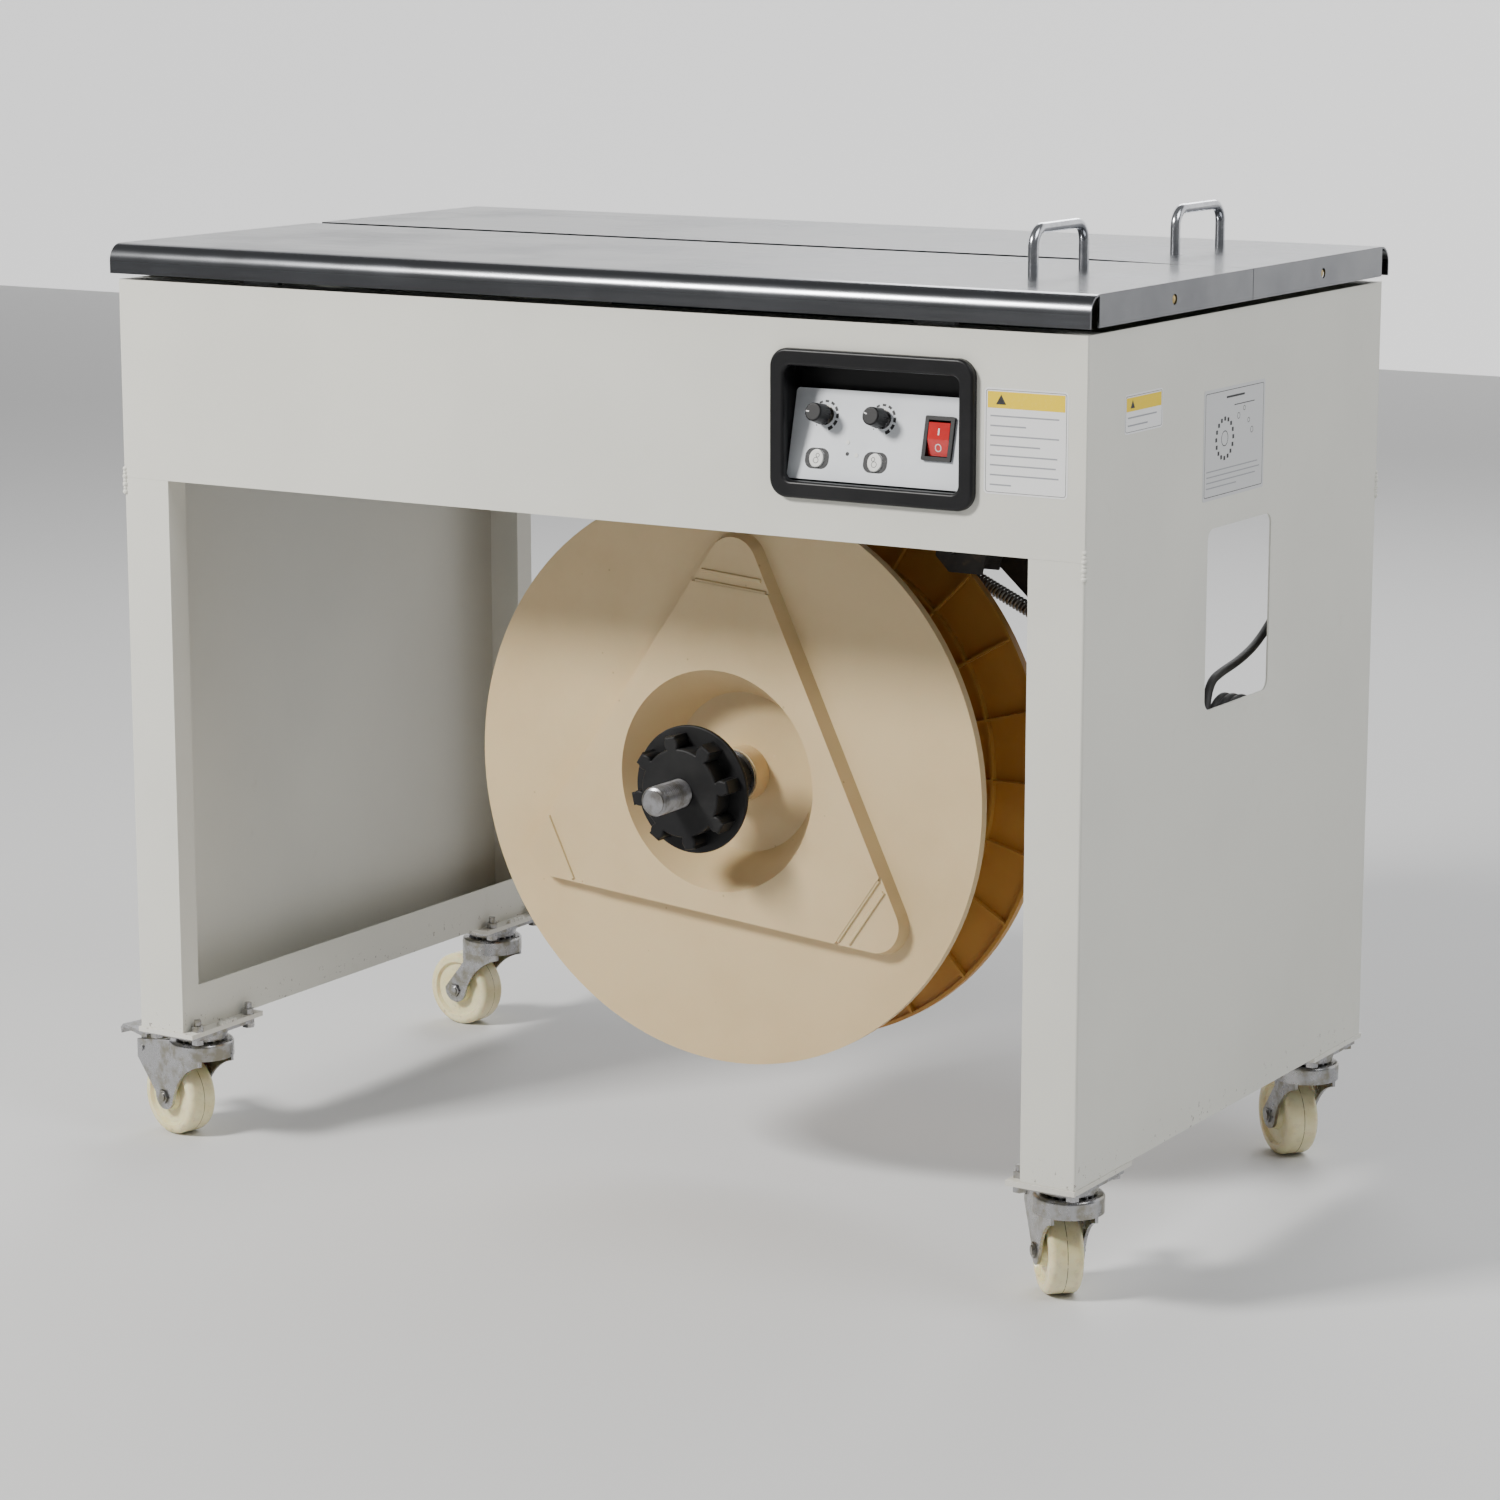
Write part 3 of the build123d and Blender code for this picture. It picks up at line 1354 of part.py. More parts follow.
with BuildPart() as feed_roller:
    with BuildSketch(facing(head_middle_y)):
        with Locations((feed_x, feed_z)):
            Circle(feed_shaft_radius)
    extrude(amount=head_inner + head_plate + 3, both=True)
    with BuildSketch(facing(head_middle_y)):
        with Locations((feed_x, feed_z)):
            Circle(feed_radius)
    extrude(amount=slot_width / 2, both=True)
feed_roller.part.label = "feed_roller"
export_step(feed_roller.part, "parts/feed_roller.step")

with BuildPart() as cam_shaft:
    with BuildSketch(facing(head_middle_y)):
        with Locations((cam_x, cam_z)):
            Circle(feed_shaft_radius)
    extrude(amount=head_inner + head_plate + 3, both=True)
    for index in range(3):
        turn = radians(120 * index + 90)
        with BuildSketch(facing(head_middle_y + 20 * (index - 1))):
            with Locations((cam_x + cam_throw * cos(turn), cam_z + cam_throw * sin(turn))):
                Circle(cam_radius)
        extrude(amount=4, both=True)
cam_shaft.part.label = "cam_shaft"
export_step(cam_shaft.part, "parts/cam_shaft.step")

# Drive motor with its gearbox, and the transformer, on the deck
motor_z = 664.0
motor_radius = 46.0
motor_left = -140.0
gearbox_left = 10.0
gearbox_right = head_left - 8
with BuildPart() as drive_motor:
    with BuildSketch(side(motor_left)):
        with Locations((head_middle_y, motor_z)):
            Circle(motor_radius)
            with PolarLocations(motor_radius, 16):
                Rectangle(5, 2.4)
    extrude(amount=gearbox_left - motor_left)
    with BuildSketch(side(gearbox_left)):
        with Locations((head_middle_y, (head_foot + head_rise - 14) / 2)):
            RectangleRounded(112, head_rise - 14 - head_foot, 10)
    extrude(amount=gearbox_right - gearbox_left)
    with BuildSketch(side(motor_left + 20)):
        with Locations((head_middle_y, (head_foot + motor_z) / 2)):
            Rectangle(60, motor_z - head_foot)
    extrude(amount=gearbox_left - motor_left - 40)
drive_motor.part.label = "drive_motor"
export_step(drive_motor.part, "parts/drive_motor.step")

transformer_x = -300.0
transformer_y = 90.0
with BuildPart() as transformer:
    with BuildSketch(level(head_foot)):
        with Locations((transformer_x, transformer_y)):
            RectangleRounded(120, 78, 4)
            with GridLocations(106, 0, 2, 1):
                Circle(3.2, mode=Mode.SUBTRACT)
    extrude(amount=2.5)
    with BuildSketch(level(head_foot)):
        with Locations((transformer_x, transformer_y)):
            Rectangle(92, 42)
    extrude(amount=84)
    with BuildSketch(level(head_foot + 16)):
        with Locations((transformer_x, transformer_y)):
            RectangleRounded(60, 72, 8)
    extrude(amount=52)
transformer.part.label = "transformer"
export_step(transformer.part, "parts/transformer.step")

# Power cord: gland under the deck, a run behind the window, and a hank on a hook
gland_inset = 52.0
gland_setback = 34.5
gland_x = body_width / 2 - gland_inset
gland_y = body_depth / 2 - gland_setback
gland_length = 6.0
relief_length = 32.0
gland_end = deck_under - gland_length - relief_length
hank_x = 418.0
hank_y = 45.0
hank_top = 397.0
hank_straight = 15 * cord_diameter
turn_pitch = 7.2
inner_turn = 3.2 * cord_diameter
outer_turn = inner_turn + turn_pitch
hank_layers = 3
hank_edge = outer_turn + cord_diameter / 2
hank_depth = (hank_layers - 1) * turn_pitch + cord_diameter
first_layer = hank_x - turn_pitch
last_layer = hank_x + turn_pitch
cord_side = hank_y - outer_turn
with BuildPart() as cord_gland:
    with BuildSketch(level(deck_under)):
        with Locations((gland_x, gland_y)):
            RegularPolygon(10, 6)
    extrude(amount=-gland_length)
    with BuildSketch(level(deck_under - gland_length)):
        with Locations((gland_x, gland_y)):
            Circle(7)
    extrude(amount=-relief_length, taper=4.5)
    with BuildSketch(level(gland_end)):
        with Locations((gland_x, gland_y)):
            Circle(cord_diameter / 2)
    extrude(amount=relief_length, mode=Mode.SUBTRACT)
cord_gland.part.label = "cord_gland"
export_step(cord_gland.part, "parts/cord_gland.step")

cord_route = [
    (392, 226, 570),
    (392, 226, 505),
    (392, 196, 478),
    (393, 150, 452),
    (395, 110, 443),
    (398, 70, 440),
    (403, 38, 437),
    (409, 18, 415),
    (first_layer, cord_side, 373),
]


def cord_arcs(route):
    """Radius of each bend: nearly as large as its shorter run allows."""
    radii = []
    for before, here, after in zip(route, route[1:], route[2:]):
        into = Vector(*here) - Vector(*before)
        out = Vector(*after) - Vector(*here)
        half_turn = radians(into.get_angle(out)) / 2
        radii.append(0.45 * min(into.length, out.length) / tan(half_turn))
    return radii


def cord_wire(route):
    """Straight runs of the route joined by tangent arcs, each with its own radius."""
    here = Vector(*route[0])
    pieces = []
    for corner, radius, after in zip(route[1:], cord_arcs(route), route[2:]):
        corner = Vector(*corner)
        into = (corner - here).normalized()
        out = (Vector(*after) - corner).normalized()
        half_turn = radians(into.get_angle(out)) / 2
        reach = radius * tan(half_turn)
        start = corner - into * reach
        finish = corner + out * reach
        inwards = (out - into).normalized()
        middle = corner + inwards * (radius / cos(half_turn) - radius)
        pieces.append(Line(here, start))
        pieces.append(ThreePointArc(start, middle, finish))
        here = finish
    pieces.append(Line(here, Vector(*route[-1])))
    return Wire([edge for piece in pieces for edge in piece.edges()])


cord_line = cord_wire([(x + cabinet_x, y + cabinet_y, z) for x, y, z in cord_route])
with BuildPart() as cord_run:
    with BuildSketch(Plane(origin=cord_line @ 0, z_dir=cord_line % 0)):
        Circle(cord_diameter / 2 - running_gap)
    sweep(path=cord_line)
cord_run.part.label = "cord_run"
export_step(cord_run.part, "parts/cord_run.step")

# Outer shape of the folded turns, with the open loop that hangs on the hook
with BuildPart() as cord_hank:
    with BuildSketch(side(hank_x - hank_depth / 2)):
        with Locations((hank_y, hank_top - hank_straight / 2)):
            SlotCenterToCenter(hank_straight, 2 * hank_edge, rotation=90)
            SlotCenterToCenter(hank_straight, 2 * inner_turn - cord_diameter, rotation=90,
                               mode=Mode.SUBTRACT)
    extrude(amount=hank_depth)
cord_hank.part.label = "cord_hank"
export_step(cord_hank.part, "parts/cord_hank.step")

tie_sheet = 1.6
tie_height = 7.0
with BuildPart() as cord_tie:
    with BuildSketch(level(hank_top - hank_straight / 2)):
        with Locations((hank_x, hank_y)):
            RectangleRounded(hank_depth + 0.4 + 2 * tie_sheet, 2 * hank_edge + 0.4 + 2 * tie_sheet, 3)
            Rectangle(hank_depth + 0.4, 2 * hank_edge + 0.4, mode=Mode.SUBTRACT)
    extrude(amount=tie_height)
cord_tie.part.label = "cord_tie"
export_step(cord_tie.part, "parts/cord_tie.step")

hook_radius_wire = 3.0
hook_z = hank_top + inner_turn - cord_diameter / 2 - hook_radius_wire - joint_gap
hook_wall = body_width / 2 - sheet - joint_gap
with BuildPart() as cord_hook:
    with BuildLine(facing(hank_y)) as bar:
        FilletPolyline((hook_wall, hook_z), (hank_x - 26, hook_z), (hank_x - 26, hook_z + 16),
                       radius=8)
    with BuildSketch(Plane(origin=bar.line @ 0, z_dir=bar.line % 0)):
        Circle(hook_radius_wire)
    sweep()
    with BuildSketch(side(hook_wall)):
        with Locations((hank_y, hook_z - 4)):
            RectangleRounded(24, 34, 5)
    extrude(amount=-2.5)
cord_hook.part.label = "cord_hook"
export_step(cord_hook.part, "parts/cord_hook.step")

# Plug at the end of the last turn
plug_top = hank_top - hank_straight - 16
relief = 26.0
plug_radius = 13.5
plug_body = 36.0
pin_length = 19.0
pin_spacing = 19.0
with BuildPart() as mains_plug:
    with BuildSketch(level(plug_top)):
        with Locations((last_layer, cord_side)):
            Circle(cord_diameter / 2 + 1)
    extrude(amount=-relief, taper=-6)
    with BuildSketch(level(plug_top - relief)):
        with Locations((last_layer, cord_side)):
            Circle(plug_radius)
    extrude(amount=-plug_body)
    fillet(mains_plug.edges().filter_by(GeomType.CIRCLE).filter_by(
        lambda e: abs(e.radius - plug_radius) < 0.01), 2.5)
    with BuildSketch(level(plug_top - relief - plug_body)):
        with Locations((last_layer, cord_side)):
            with GridLocations(0, pin_spacing, 1, 2):
                Circle(2.4)
    extrude(amount=-pin_length)
mains_plug.part.label = "mains_plug"
export_step(mains_plug.part, "parts/mains_plug.step")
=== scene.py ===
import bpy
import bmesh
from math import atan2, cos, pi, radians, sin, tan
from mathutils import Matrix, Vector


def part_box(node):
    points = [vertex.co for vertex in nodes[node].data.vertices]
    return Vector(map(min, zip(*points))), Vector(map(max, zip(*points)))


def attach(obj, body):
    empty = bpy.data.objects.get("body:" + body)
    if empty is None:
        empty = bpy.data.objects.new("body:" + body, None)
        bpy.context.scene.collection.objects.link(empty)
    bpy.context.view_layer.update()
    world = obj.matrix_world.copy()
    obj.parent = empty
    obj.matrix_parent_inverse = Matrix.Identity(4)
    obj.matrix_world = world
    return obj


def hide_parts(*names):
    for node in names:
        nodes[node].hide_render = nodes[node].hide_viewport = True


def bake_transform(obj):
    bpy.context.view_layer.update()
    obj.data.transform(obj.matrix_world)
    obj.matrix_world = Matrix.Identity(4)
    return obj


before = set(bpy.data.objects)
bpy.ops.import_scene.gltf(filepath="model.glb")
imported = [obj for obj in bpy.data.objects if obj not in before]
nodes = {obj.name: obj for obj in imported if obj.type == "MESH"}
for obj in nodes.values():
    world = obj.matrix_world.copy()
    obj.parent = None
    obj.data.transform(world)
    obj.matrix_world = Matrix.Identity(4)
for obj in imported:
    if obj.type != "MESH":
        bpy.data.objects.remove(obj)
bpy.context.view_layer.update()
mm = 0.001

# the middle of the cabinet on the floor, from the two side panels
leftLow, leftHigh = (Vector(corner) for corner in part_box("left_side_panel"))
rightHigh = Vector(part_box("right_side_panel")[1])
cabinetMiddle = Vector(((leftLow.x + rightHigh.x) / 2, (leftLow.y + leftHigh.y) / 2, 0))


def place(x, y, z):
    # millimetres from the middle of the cabinet, as a point in the frame
    return cabinetMiddle + Vector((x, y, z)) * mm


def addObject(name, data):
    made = bpy.data.objects.new(name, data)
    bpy.context.collection.objects.link(made)
    return made


print("stage: camera")
view = dict(x=1786.1, y=-2892.1, z=1031.2, yaw=31.674, pitch=-11.387, lens=99.9, sensor=36)
cameraData = bpy.data.cameras.new("camera")
cameraData.lens = view["lens"]
cameraData.sensor_width = view["sensor"]
camera = addObject("camera", cameraData)
camera.location = place(view["x"], view["y"], view["z"])
camera.rotation_euler = (radians(90 + view["pitch"]), 0, radians(view["yaw"]))
bpy.context.scene.camera = camera


class Signal:
    # a socket that takes part in Python sums
    def __init__(self, tree, socket):
        self.tree = tree
        self.socket = socket

    def combine(self, operation, *values):
        node = self.tree.nodes.new("ShaderNodeMath")
        node.operation = operation
        for index, value in enumerate(values):
            feed(self.tree, node.inputs[index], value)
        return Signal(self.tree, node.outputs[0])

    def __add__(self, other):
        return self.combine("ADD", self, other)

    def __sub__(self, other):
        return self.combine("SUBTRACT", self, other)

    def __rsub__(self, other):
        return self.combine("SUBTRACT", other, self)

    def __mul__(self, other):
        return self.combine("MULTIPLY", self, other)

    def __truediv__(self, other):
        return self.combine("DIVIDE", self, other)

    def __abs__(self):
        return self.combine("ABSOLUTE", self)

    __radd__ = __add__
    __rmul__ = __mul__


def feed(tree, socket, value):
    # a list goes into a socket that takes several links
    if isinstance(value, list):
        for one in value:
            feed(tree, socket, one)
    elif isinstance(value, Signal):
        tree.links.new(value.socket, socket)
    elif value is not None:
        socket.default_value = value


class NodeTree:
    # one way to add a node: its type, its settings, and the values or links of its sockets
    def node(self, kind, output=0, settings=None, **inputs):
        made = self.tree.nodes.new(kind)
        for key, value in (settings or {}).items():
            setattr(made, key, value)
        for key, value in inputs.items():
            socket = int(key[2:]) if key.startswith("at") else key.replace("_", " ")
            feed(self.tree, made.inputs[socket], value)
        return Signal(self.tree, made.outputs[output])


class Finish(NodeTree):
    # a material with one principled shader and the nodes that feed it
    def __init__(self, name, **constants):
        self.material = bpy.data.materials.new(name)
        self.material.use_nodes = True
        self.tree = self.material.node_tree
        self.shader = self.tree.nodes["Principled BSDF"]
        for key, value in constants.items():
            self.shader.inputs[key.replace("_", " ")].default_value = value
        self.point = self.node("ShaderNodeTexCoord", "Object")

    def axis(self, index):
        return self.node("ShaderNodeSeparateXYZ", index, Vector=self.point)

    def noise(self, scale, detail=4.0, roughness=0.55, stretch=None):
        where = self.node("ShaderNodeMapping", Vector=self.point, Scale=stretch) if stretch else self.point
        return self.node("ShaderNodeTexNoise", Vector=where, Scale=scale, Detail=detail, Roughness=roughness)

    def spots(self, scale):
        return self.node("ShaderNodeTexVoronoi", "Distance", Vector=self.point, Scale=scale)

    def band(self, value, low, high):
        # 0 below low, 1 above high
        return self.node("ShaderNodeMapRange", 0, {"interpolation_type": "SMOOTHSTEP"}, Value=value,
                         From_Min=low, From_Max=high)

    def mix(self, factor, first, second):
        return self.node("ShaderNodeMix", 2, {"data_type": "RGBA"}, at0=factor, at6=first, at7=second)

    def bump(self, height, strength, distance):
        return self.node("ShaderNodeBump", Height=height, Strength=strength, Distance=distance)

    def wear(self, **inputs):
        for key, value in inputs.items():
            feed(self.tree, self.shader.inputs[key.replace("_", " ")], value)
        return self.material


def rgb(red, green, blue):
    return (red, green, blue, 1.0)


print("stage: materials")


def powderCoat(name, colour, shade, chips):
    f = Finish(name, Specular_IOR_Level=0.45)
    grain = f.noise(1300, 2, 0.6)
    peel = f.noise(420, 3, 0.55)
    cloud = f.band(f.noise(5.5, 3, 0.5), 0.35, 0.68)
    base = f.mix(cloud, rgb(*colour), rgb(*shade))
    grime = f.band(f.noise(34, 6, 0.65), 0.62, 0.8) * 0.25
    base = f.mix(grime, base, rgb(shade[0] * 0.82, shade[1] * 0.8, shade[2] * 0.74))
    if chips:
        low = 1 - f.band(f.axis(2), chips[0], chips[1])
        chipped = f.band(f.noise(190, 5, 0.7), 0.63, 0.66) * low
        base = f.mix(chipped, base, rgb(0.16, 0.13, 0.10))
    rough = 0.44 + 0.16 * f.noise(60, 4, 0.6)
    coat = f.bump(peel * 0.6 + grain * 0.4, 0.28, 0.0004)
    return f.wear(Base_Color=base, Roughness=rough, Normal=coat)


def polishedSheet():
    f = Finish("polishedSheet", Metallic=1.0, Specular_IOR_Level=0.5)
    streaks = f.noise(26, 5, 0.6, (0.25, 9, 9))
    fine = f.noise(300, 3, 0.6, (0.05, 4, 4))
    smear = f.band(f.noise(7, 4, 0.6), 0.4, 0.75)
    base = f.mix(smear, rgb(0.20, 0.205, 0.215), rgb(0.155, 0.16, 0.175))
    base = f.mix(f.band(f.spots(55), 0.0, 0.045), rgb(0.12, 0.11, 0.10), base)
    rough = 0.15 + 0.10 * streaks + 0.08 * smear
    return f.wear(Base_Color=base, Roughness=rough, Normal=f.bump(fine, 0.05, 0.0002))


def brightPlate(name, colour, rough, tint):
    f = Finish(name, Metallic=1.0)
    cloud = f.noise(70, 4, 0.6)
    spangle = f.spots(240)
    base = f.mix(f.band(cloud, 0.42, 0.66), rgb(*colour), rgb(*tint))
    pits = f.noise(900, 3, 0.6)
    return f.wear(Base_Color=base, Roughness=rough + 0.16 * cloud + 0.08 * spangle,
                  Normal=f.bump(pits, 0.12, 0.0002))


def darkSteel(name, colour, rust):
    f = Finish(name, Metallic=0.65)
    cloud = f.noise(48, 6, 0.65)
    stain = f.band(cloud, 0.52, 0.74)
    base = f.mix(stain, rgb(*colour), rgb(*rust))
    scale = f.noise(600, 4, 0.6)
    return f.wear(Base_Color=base, Roughness=0.42 + 0.3 * cloud, Normal=f.bump(scale, 0.25, 0.0003))


def moulding(name, colour, shade, rough, grain=700, depth=0.18, **constants):
    f = Finish(name, **constants)
    cloud = f.band(f.noise(16, 4, 0.55), 0.38, 0.7)
    base = f.mix(cloud, rgb(*colour), rgb(*shade))
    texture = f.noise(grain, 3, 0.6)
    marks = f.noise(130, 5, 0.7, (1, 1, 5))
    return f.wear(Base_Color=base, Roughness=rough + 0.14 * marks,
                  Normal=f.bump(texture * 0.7 + marks * 0.3, depth, 0.0003))


def reelPlastic(name, colour, shade, glow):
    f = Finish(name, Specular_IOR_Level=0.4, Subsurface_Weight=0.12, Subsurface_Scale=0.01)
    flow = f.band(f.noise(7, 5, 0.6), 0.36, 0.7)
    base = f.mix(flow, rgb(*colour), rgb(*shade))
    scuff = f.band(f.noise(85, 6, 0.72), 0.64, 0.8)
    base = f.mix(scuff * 0.35, base, rgb(*glow))
    fleck = 1 - f.band(f.spots(38), 0.02, 0.05)
    base = f.mix(fleck * 0.5, base, rgb(0.30, 0.20, 0.10))
    rough = 0.36 + 0.2 * f.noise(28, 5, 0.6)
    return f.wear(Base_Color=base, Roughness=rough, Normal=f.bump(f.noise(420, 3, 0.55), 0.12, 0.0003))


def wheelNylon(name, middle, axle):
    f = Finish(name, Subsurface_Weight=0.25, Subsurface_Scale=0.008, Specular_IOR_Level=0.5)
    flow = f.band(f.noise(40, 4, 0.6), 0.35, 0.7)
    base = f.mix(flow, rgb(0.80, 0.74, 0.47), rgb(0.74, 0.66, 0.36))
    # random dark marks, heavier on the lower part of the wheel within 30 mm of the floor
    low = 1 - f.band(f.axis(2), 0.0, 0.03)
    darkMarks = f.band(f.noise(150, 6, 0.7), 0.52, 0.68) * (0.25 + 0.45 * low)
    base = f.mix(darkMarks, base, rgb(0.30, 0.23, 0.13))
    across = f.node("ShaderNodeVectorMath", "Value", {"operation": "DOT_PRODUCT"}, at0=f.point,
                    at1=tuple(axle))
    wander = (f.noise(60, 2, 0.5) - 0.5) * 0.0004
    away = abs(across - middle.dot(axle) + wander)
    seam = (1 - f.band(away, 0.00018, 0.0004)) * f.band(f.noise(120, 4, 0.7), 0.34, 0.5)
    base = f.mix(seam * 0.85, base, rgb(0.07, 0.05, 0.03))
    texture = f.bump(f.noise(500, 3, 0.6), 0.1, 0.0003)
    return f.wear(Base_Color=base, Roughness=0.22 + 0.3 * darkMarks, Normal=texture)


def cordJacket():
    f = Finish("cordJacket")
    cloud = f.noise(220, 4, 0.6)
    base = f.mix(cloud, rgb(0.018, 0.018, 0.019), rgb(0.045, 0.044, 0.042))
    texture = f.bump(f.noise(1500, 2, 0.5), 0.2, 0.0002)
    return f.wear(Base_Color=base, Roughness=0.48 + 0.2 * cloud, Normal=texture)


paint = powderCoat("cabinetPaint", (0.70, 0.695, 0.63), (0.665, 0.66, 0.60), (0.104, 0.135))
platePaint = powderCoat("mountPaint", (0.72, 0.71, 0.65), (0.62, 0.60, 0.54), (0.098, 0.118))
sheet = polishedSheet()
chrome = brightPlate("brightPlate", (0.62, 0.63, 0.66), 0.08, (0.50, 0.51, 0.54))
zinc = brightPlate("zincPlate", (0.40, 0.40, 0.41), 0.17, (0.27, 0.255, 0.21))
plainSteel = brightPlate("plainSteel", (0.36, 0.365, 0.38), 0.34, (0.28, 0.27, 0.26))
shaftSteel = brightPlate("shaftSteel", (0.30, 0.30, 0.31), 0.24, (0.17, 0.16, 0.15))
yellowZinc = brightPlate("yellowZinc", (0.55, 0.42, 0.18), 0.28, (0.36, 0.24, 0.09))
dark = darkSteel("darkSteel", (0.035, 0.032, 0.030), (0.09, 0.065, 0.045))
springSteel = brightPlate("springSteel", (0.24, 0.235, 0.225), 0.26, (0.12, 0.10, 0.085))
blackPlastic = moulding("blackPlastic", (0.008, 0.008, 0.009), (0.014, 0.014, 0.015), 0.36,
                        Specular_IOR_Level=0.3)
bezelPlastic = moulding("bezelPlastic", (0.006, 0.006, 0.007), (0.011, 0.011, 0.012), 0.32, 900, 0.22,
                        Specular_IOR_Level=0.3)
nutPlastic = moulding("nutPlastic", (0.010, 0.010, 0.011), (0.020, 0.020, 0.020), 0.42, 500, 0.25,
                      Specular_IOR_Level=0.2)
platePrint = moulding("platePrint", (0.72, 0.75, 0.78), (0.66, 0.69, 0.73), 0.38, 1200, 0.06)
whitePlastic = moulding("whitePlastic", (0.80, 0.80, 0.77), (0.72, 0.72, 0.69), 0.26, 1000, 0.05)
redPlastic = moulding("redPlastic", (0.60, 0.003, 0.003), (0.48, 0.002, 0.002), 0.16, 900, 0.05,
                      Coat_Weight=0.6)
reelFront = reelPlastic("reelFront", (0.66, 0.505, 0.285), (0.60, 0.45, 0.245), (0.74, 0.60, 0.39))
# the rear flange and the core take a darker amber copy of the front's plastic: painted shade
reelRearShaded = reelPlastic("reelRearShaded", (0.47, 0.25, 0.055), (0.38, 0.185, 0.035), (0.55, 0.34, 0.11))
motorPaint = powderCoat("motorPaint", (0.10, 0.12, 0.14), (0.07, 0.085, 0.10), None)
jacket = cordJacket()

finishes = {
    "left_side_panel": paint, "right_side_panel": paint, "front_upper_panel": paint,
    "rear_upper_panel": paint, "caster_mounts": platePaint, "mechanism_deck": plainSteel,
    "head_frame": plainSteel, "hinge_arms": plainSteel, "front_hinge_leaves": plainSteel,
    "rear_hinge_leaves": plainSteel, "table_rails": plainSteel, "feed_roller": plainSteel,
    "cam_shaft": plainSteel, "table_front": sheet, "table_rear": sheet, "stop_front": chrome,
    "stop_rear": chrome, "reel_shaft": shaftSteel, "reel_washer": zinc, "control_bezel": bezelPlastic,
    "control_tray": blackPlastic, "face_plate": platePrint, "feed_knob": blackPlastic,
    "tension_knob": blackPlastic, "reel_nut": nutPlastic, "rocker_frame": blackPlastic,
    "mains_plug": blackPlastic, "cord_tie": blackPlastic, "cord_gland": blackPlastic,
    "feed_button": whitePlastic, "start_button": whitePlastic, "power_rocker": redPlastic,
    "dial_bushes": zinc, "caster_heads": zinc, "mounting_bolts": zinc, "reel_front_flange": reelFront,
    # the rear flange and the core get the darker plastic, painted shade
    "reel_rear_flange": reelRearShaded, "reel_core": reelRearShaded, "reel_hanger": dark, "reel_bearing": dark,
    "strap_guide": dark, "brake_bracket": dark, "brake_lever": dark, "brake_spring": springSteel,
    "cord_hook": dark, "guide_roller": plainSteel, "drive_motor": motorPaint, "transformer": motorPaint,
    "cord_run": jacket, "cord_hank": jacket,
}
# the way each wheel's axle points, in degrees
wheelHeadings = dict(front_left=76.0, front_right=41.0, rear_left=86.0, rear_right=49.0)
for corner in wheelHeadings:
    finishes[corner + "_fork"] = zinc
    wheelLow, wheelHigh = (Vector(end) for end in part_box(corner + "_wheel"))
    heading = radians(wheelHeadings[corner])
    finishes[corner + "_wheel"] = wheelNylon(corner + "Nylon", (wheelLow + wheelHigh) / 2,
                                             Vector((cos(heading), sin(heading), 0)))
    if corner.startswith("front"):
        finishes[corner + "_pedal"] = zinc
for name, node in nodes.items():
    node.data.materials.clear()
    node.data.materials.append(finishes[name])


def fromBmesh(name, bm, body, finish, smooth=True):
    mesh = bpy.data.meshes.new(name)
    bmesh.ops.recalc_face_normals(bm, faces=bm.faces)
    bm.to_mesh(mesh)
    bm.free()
    if smooth:
        mesh.shade_smooth()
        mesh.set_sharp_from_angle(angle=radians(35))
    if finish:
        mesh.materials.append(finish)
    piece = addObject(name, mesh)
    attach(piece, body)
    return piece


print("stage: cord")
cordFacts = dict(diameter=7.0, pitch=7.2, hankX=418.0, hankY=45.0, hankTop=397.0, straight=105.0,
                 inner=22.4, turns=5, perTurn=16, drawnIn=0.967, firstMove=0.9, move=0.1,
                 drops=(5, 18), length=2.28)
cordRoute = [(392, 226, 570), (392, 226, 505), (392, 196, 478), (393, 150, 452), (395, 110, 443),
             (398, 70, 440), (403, 38, 437), (409, 18, 415), (410.8, 15.4, 373)]


def hankPoint(share, layer, ring):
    # share of a turn, from the top of the front straight downwards and round
    straight = cordFacts["straight"]
    radius = cordFacts["inner"] + ring * cordFacts["pitch"]
    outer = cordFacts["inner"] + cordFacts["pitch"]
    fold = pi * outer
    whole = 2 * (straight + fold)
    along = (share % 1.0) * whole
    swell = 1 / cordFacts["drawnIn"]  # the spline draws a round end in by this much
    x = cordFacts["hankX"] + layer * cordFacts["pitch"]
    y, z = cordFacts["hankY"], cordFacts["hankTop"]
    if along < straight:
        return (x, y - radius, z - along)
    along -= straight
    if along < fold:
        turn = pi * along / fold
        return (x, y - radius * swell * cos(turn), z - straight - radius * swell * sin(turn))
    along -= fold
    if along < straight:
        return (x, y + radius, z - straight + along)
    turn = pi * (along - straight) / fold
    return (x, y + radius * swell * cos(turn), z + radius * swell * sin(turn))


def hankRoute():
    # each turn's place in the stack; a turn moves on a little earlier than the last one did
    stack = [(-1, 1), (-1, 0), (0, 0), (0, 1), (1, 0), (1, 1)]
    count = cordFacts["perTurn"]
    points = []
    for index in range(cordFacts["turns"]):
        here, after = stack[index], stack[index + 1]
        start = cordFacts["firstMove"] - cordFacts["move"] * index
        for step in range(2 if index == 0 else 0, count):
            share = step / count
            moved = min(1, max(0, (share - start) / cordFacts["move"]))
            layer = here[0] + (after[0] - here[0]) * moved
            ring = here[1] + (after[1] - here[1]) * moved
            points.append(hankPoint(share, layer, ring))
    last = stack[-1]
    for step in range(4):
        points.append(hankPoint(step / count, *last))
    end = hankPoint(0.0, *last)
    for drop in cordFacts["drops"]:
        points.append((end[0], end[1], end[2] - cordFacts["straight"] - drop))
    return points


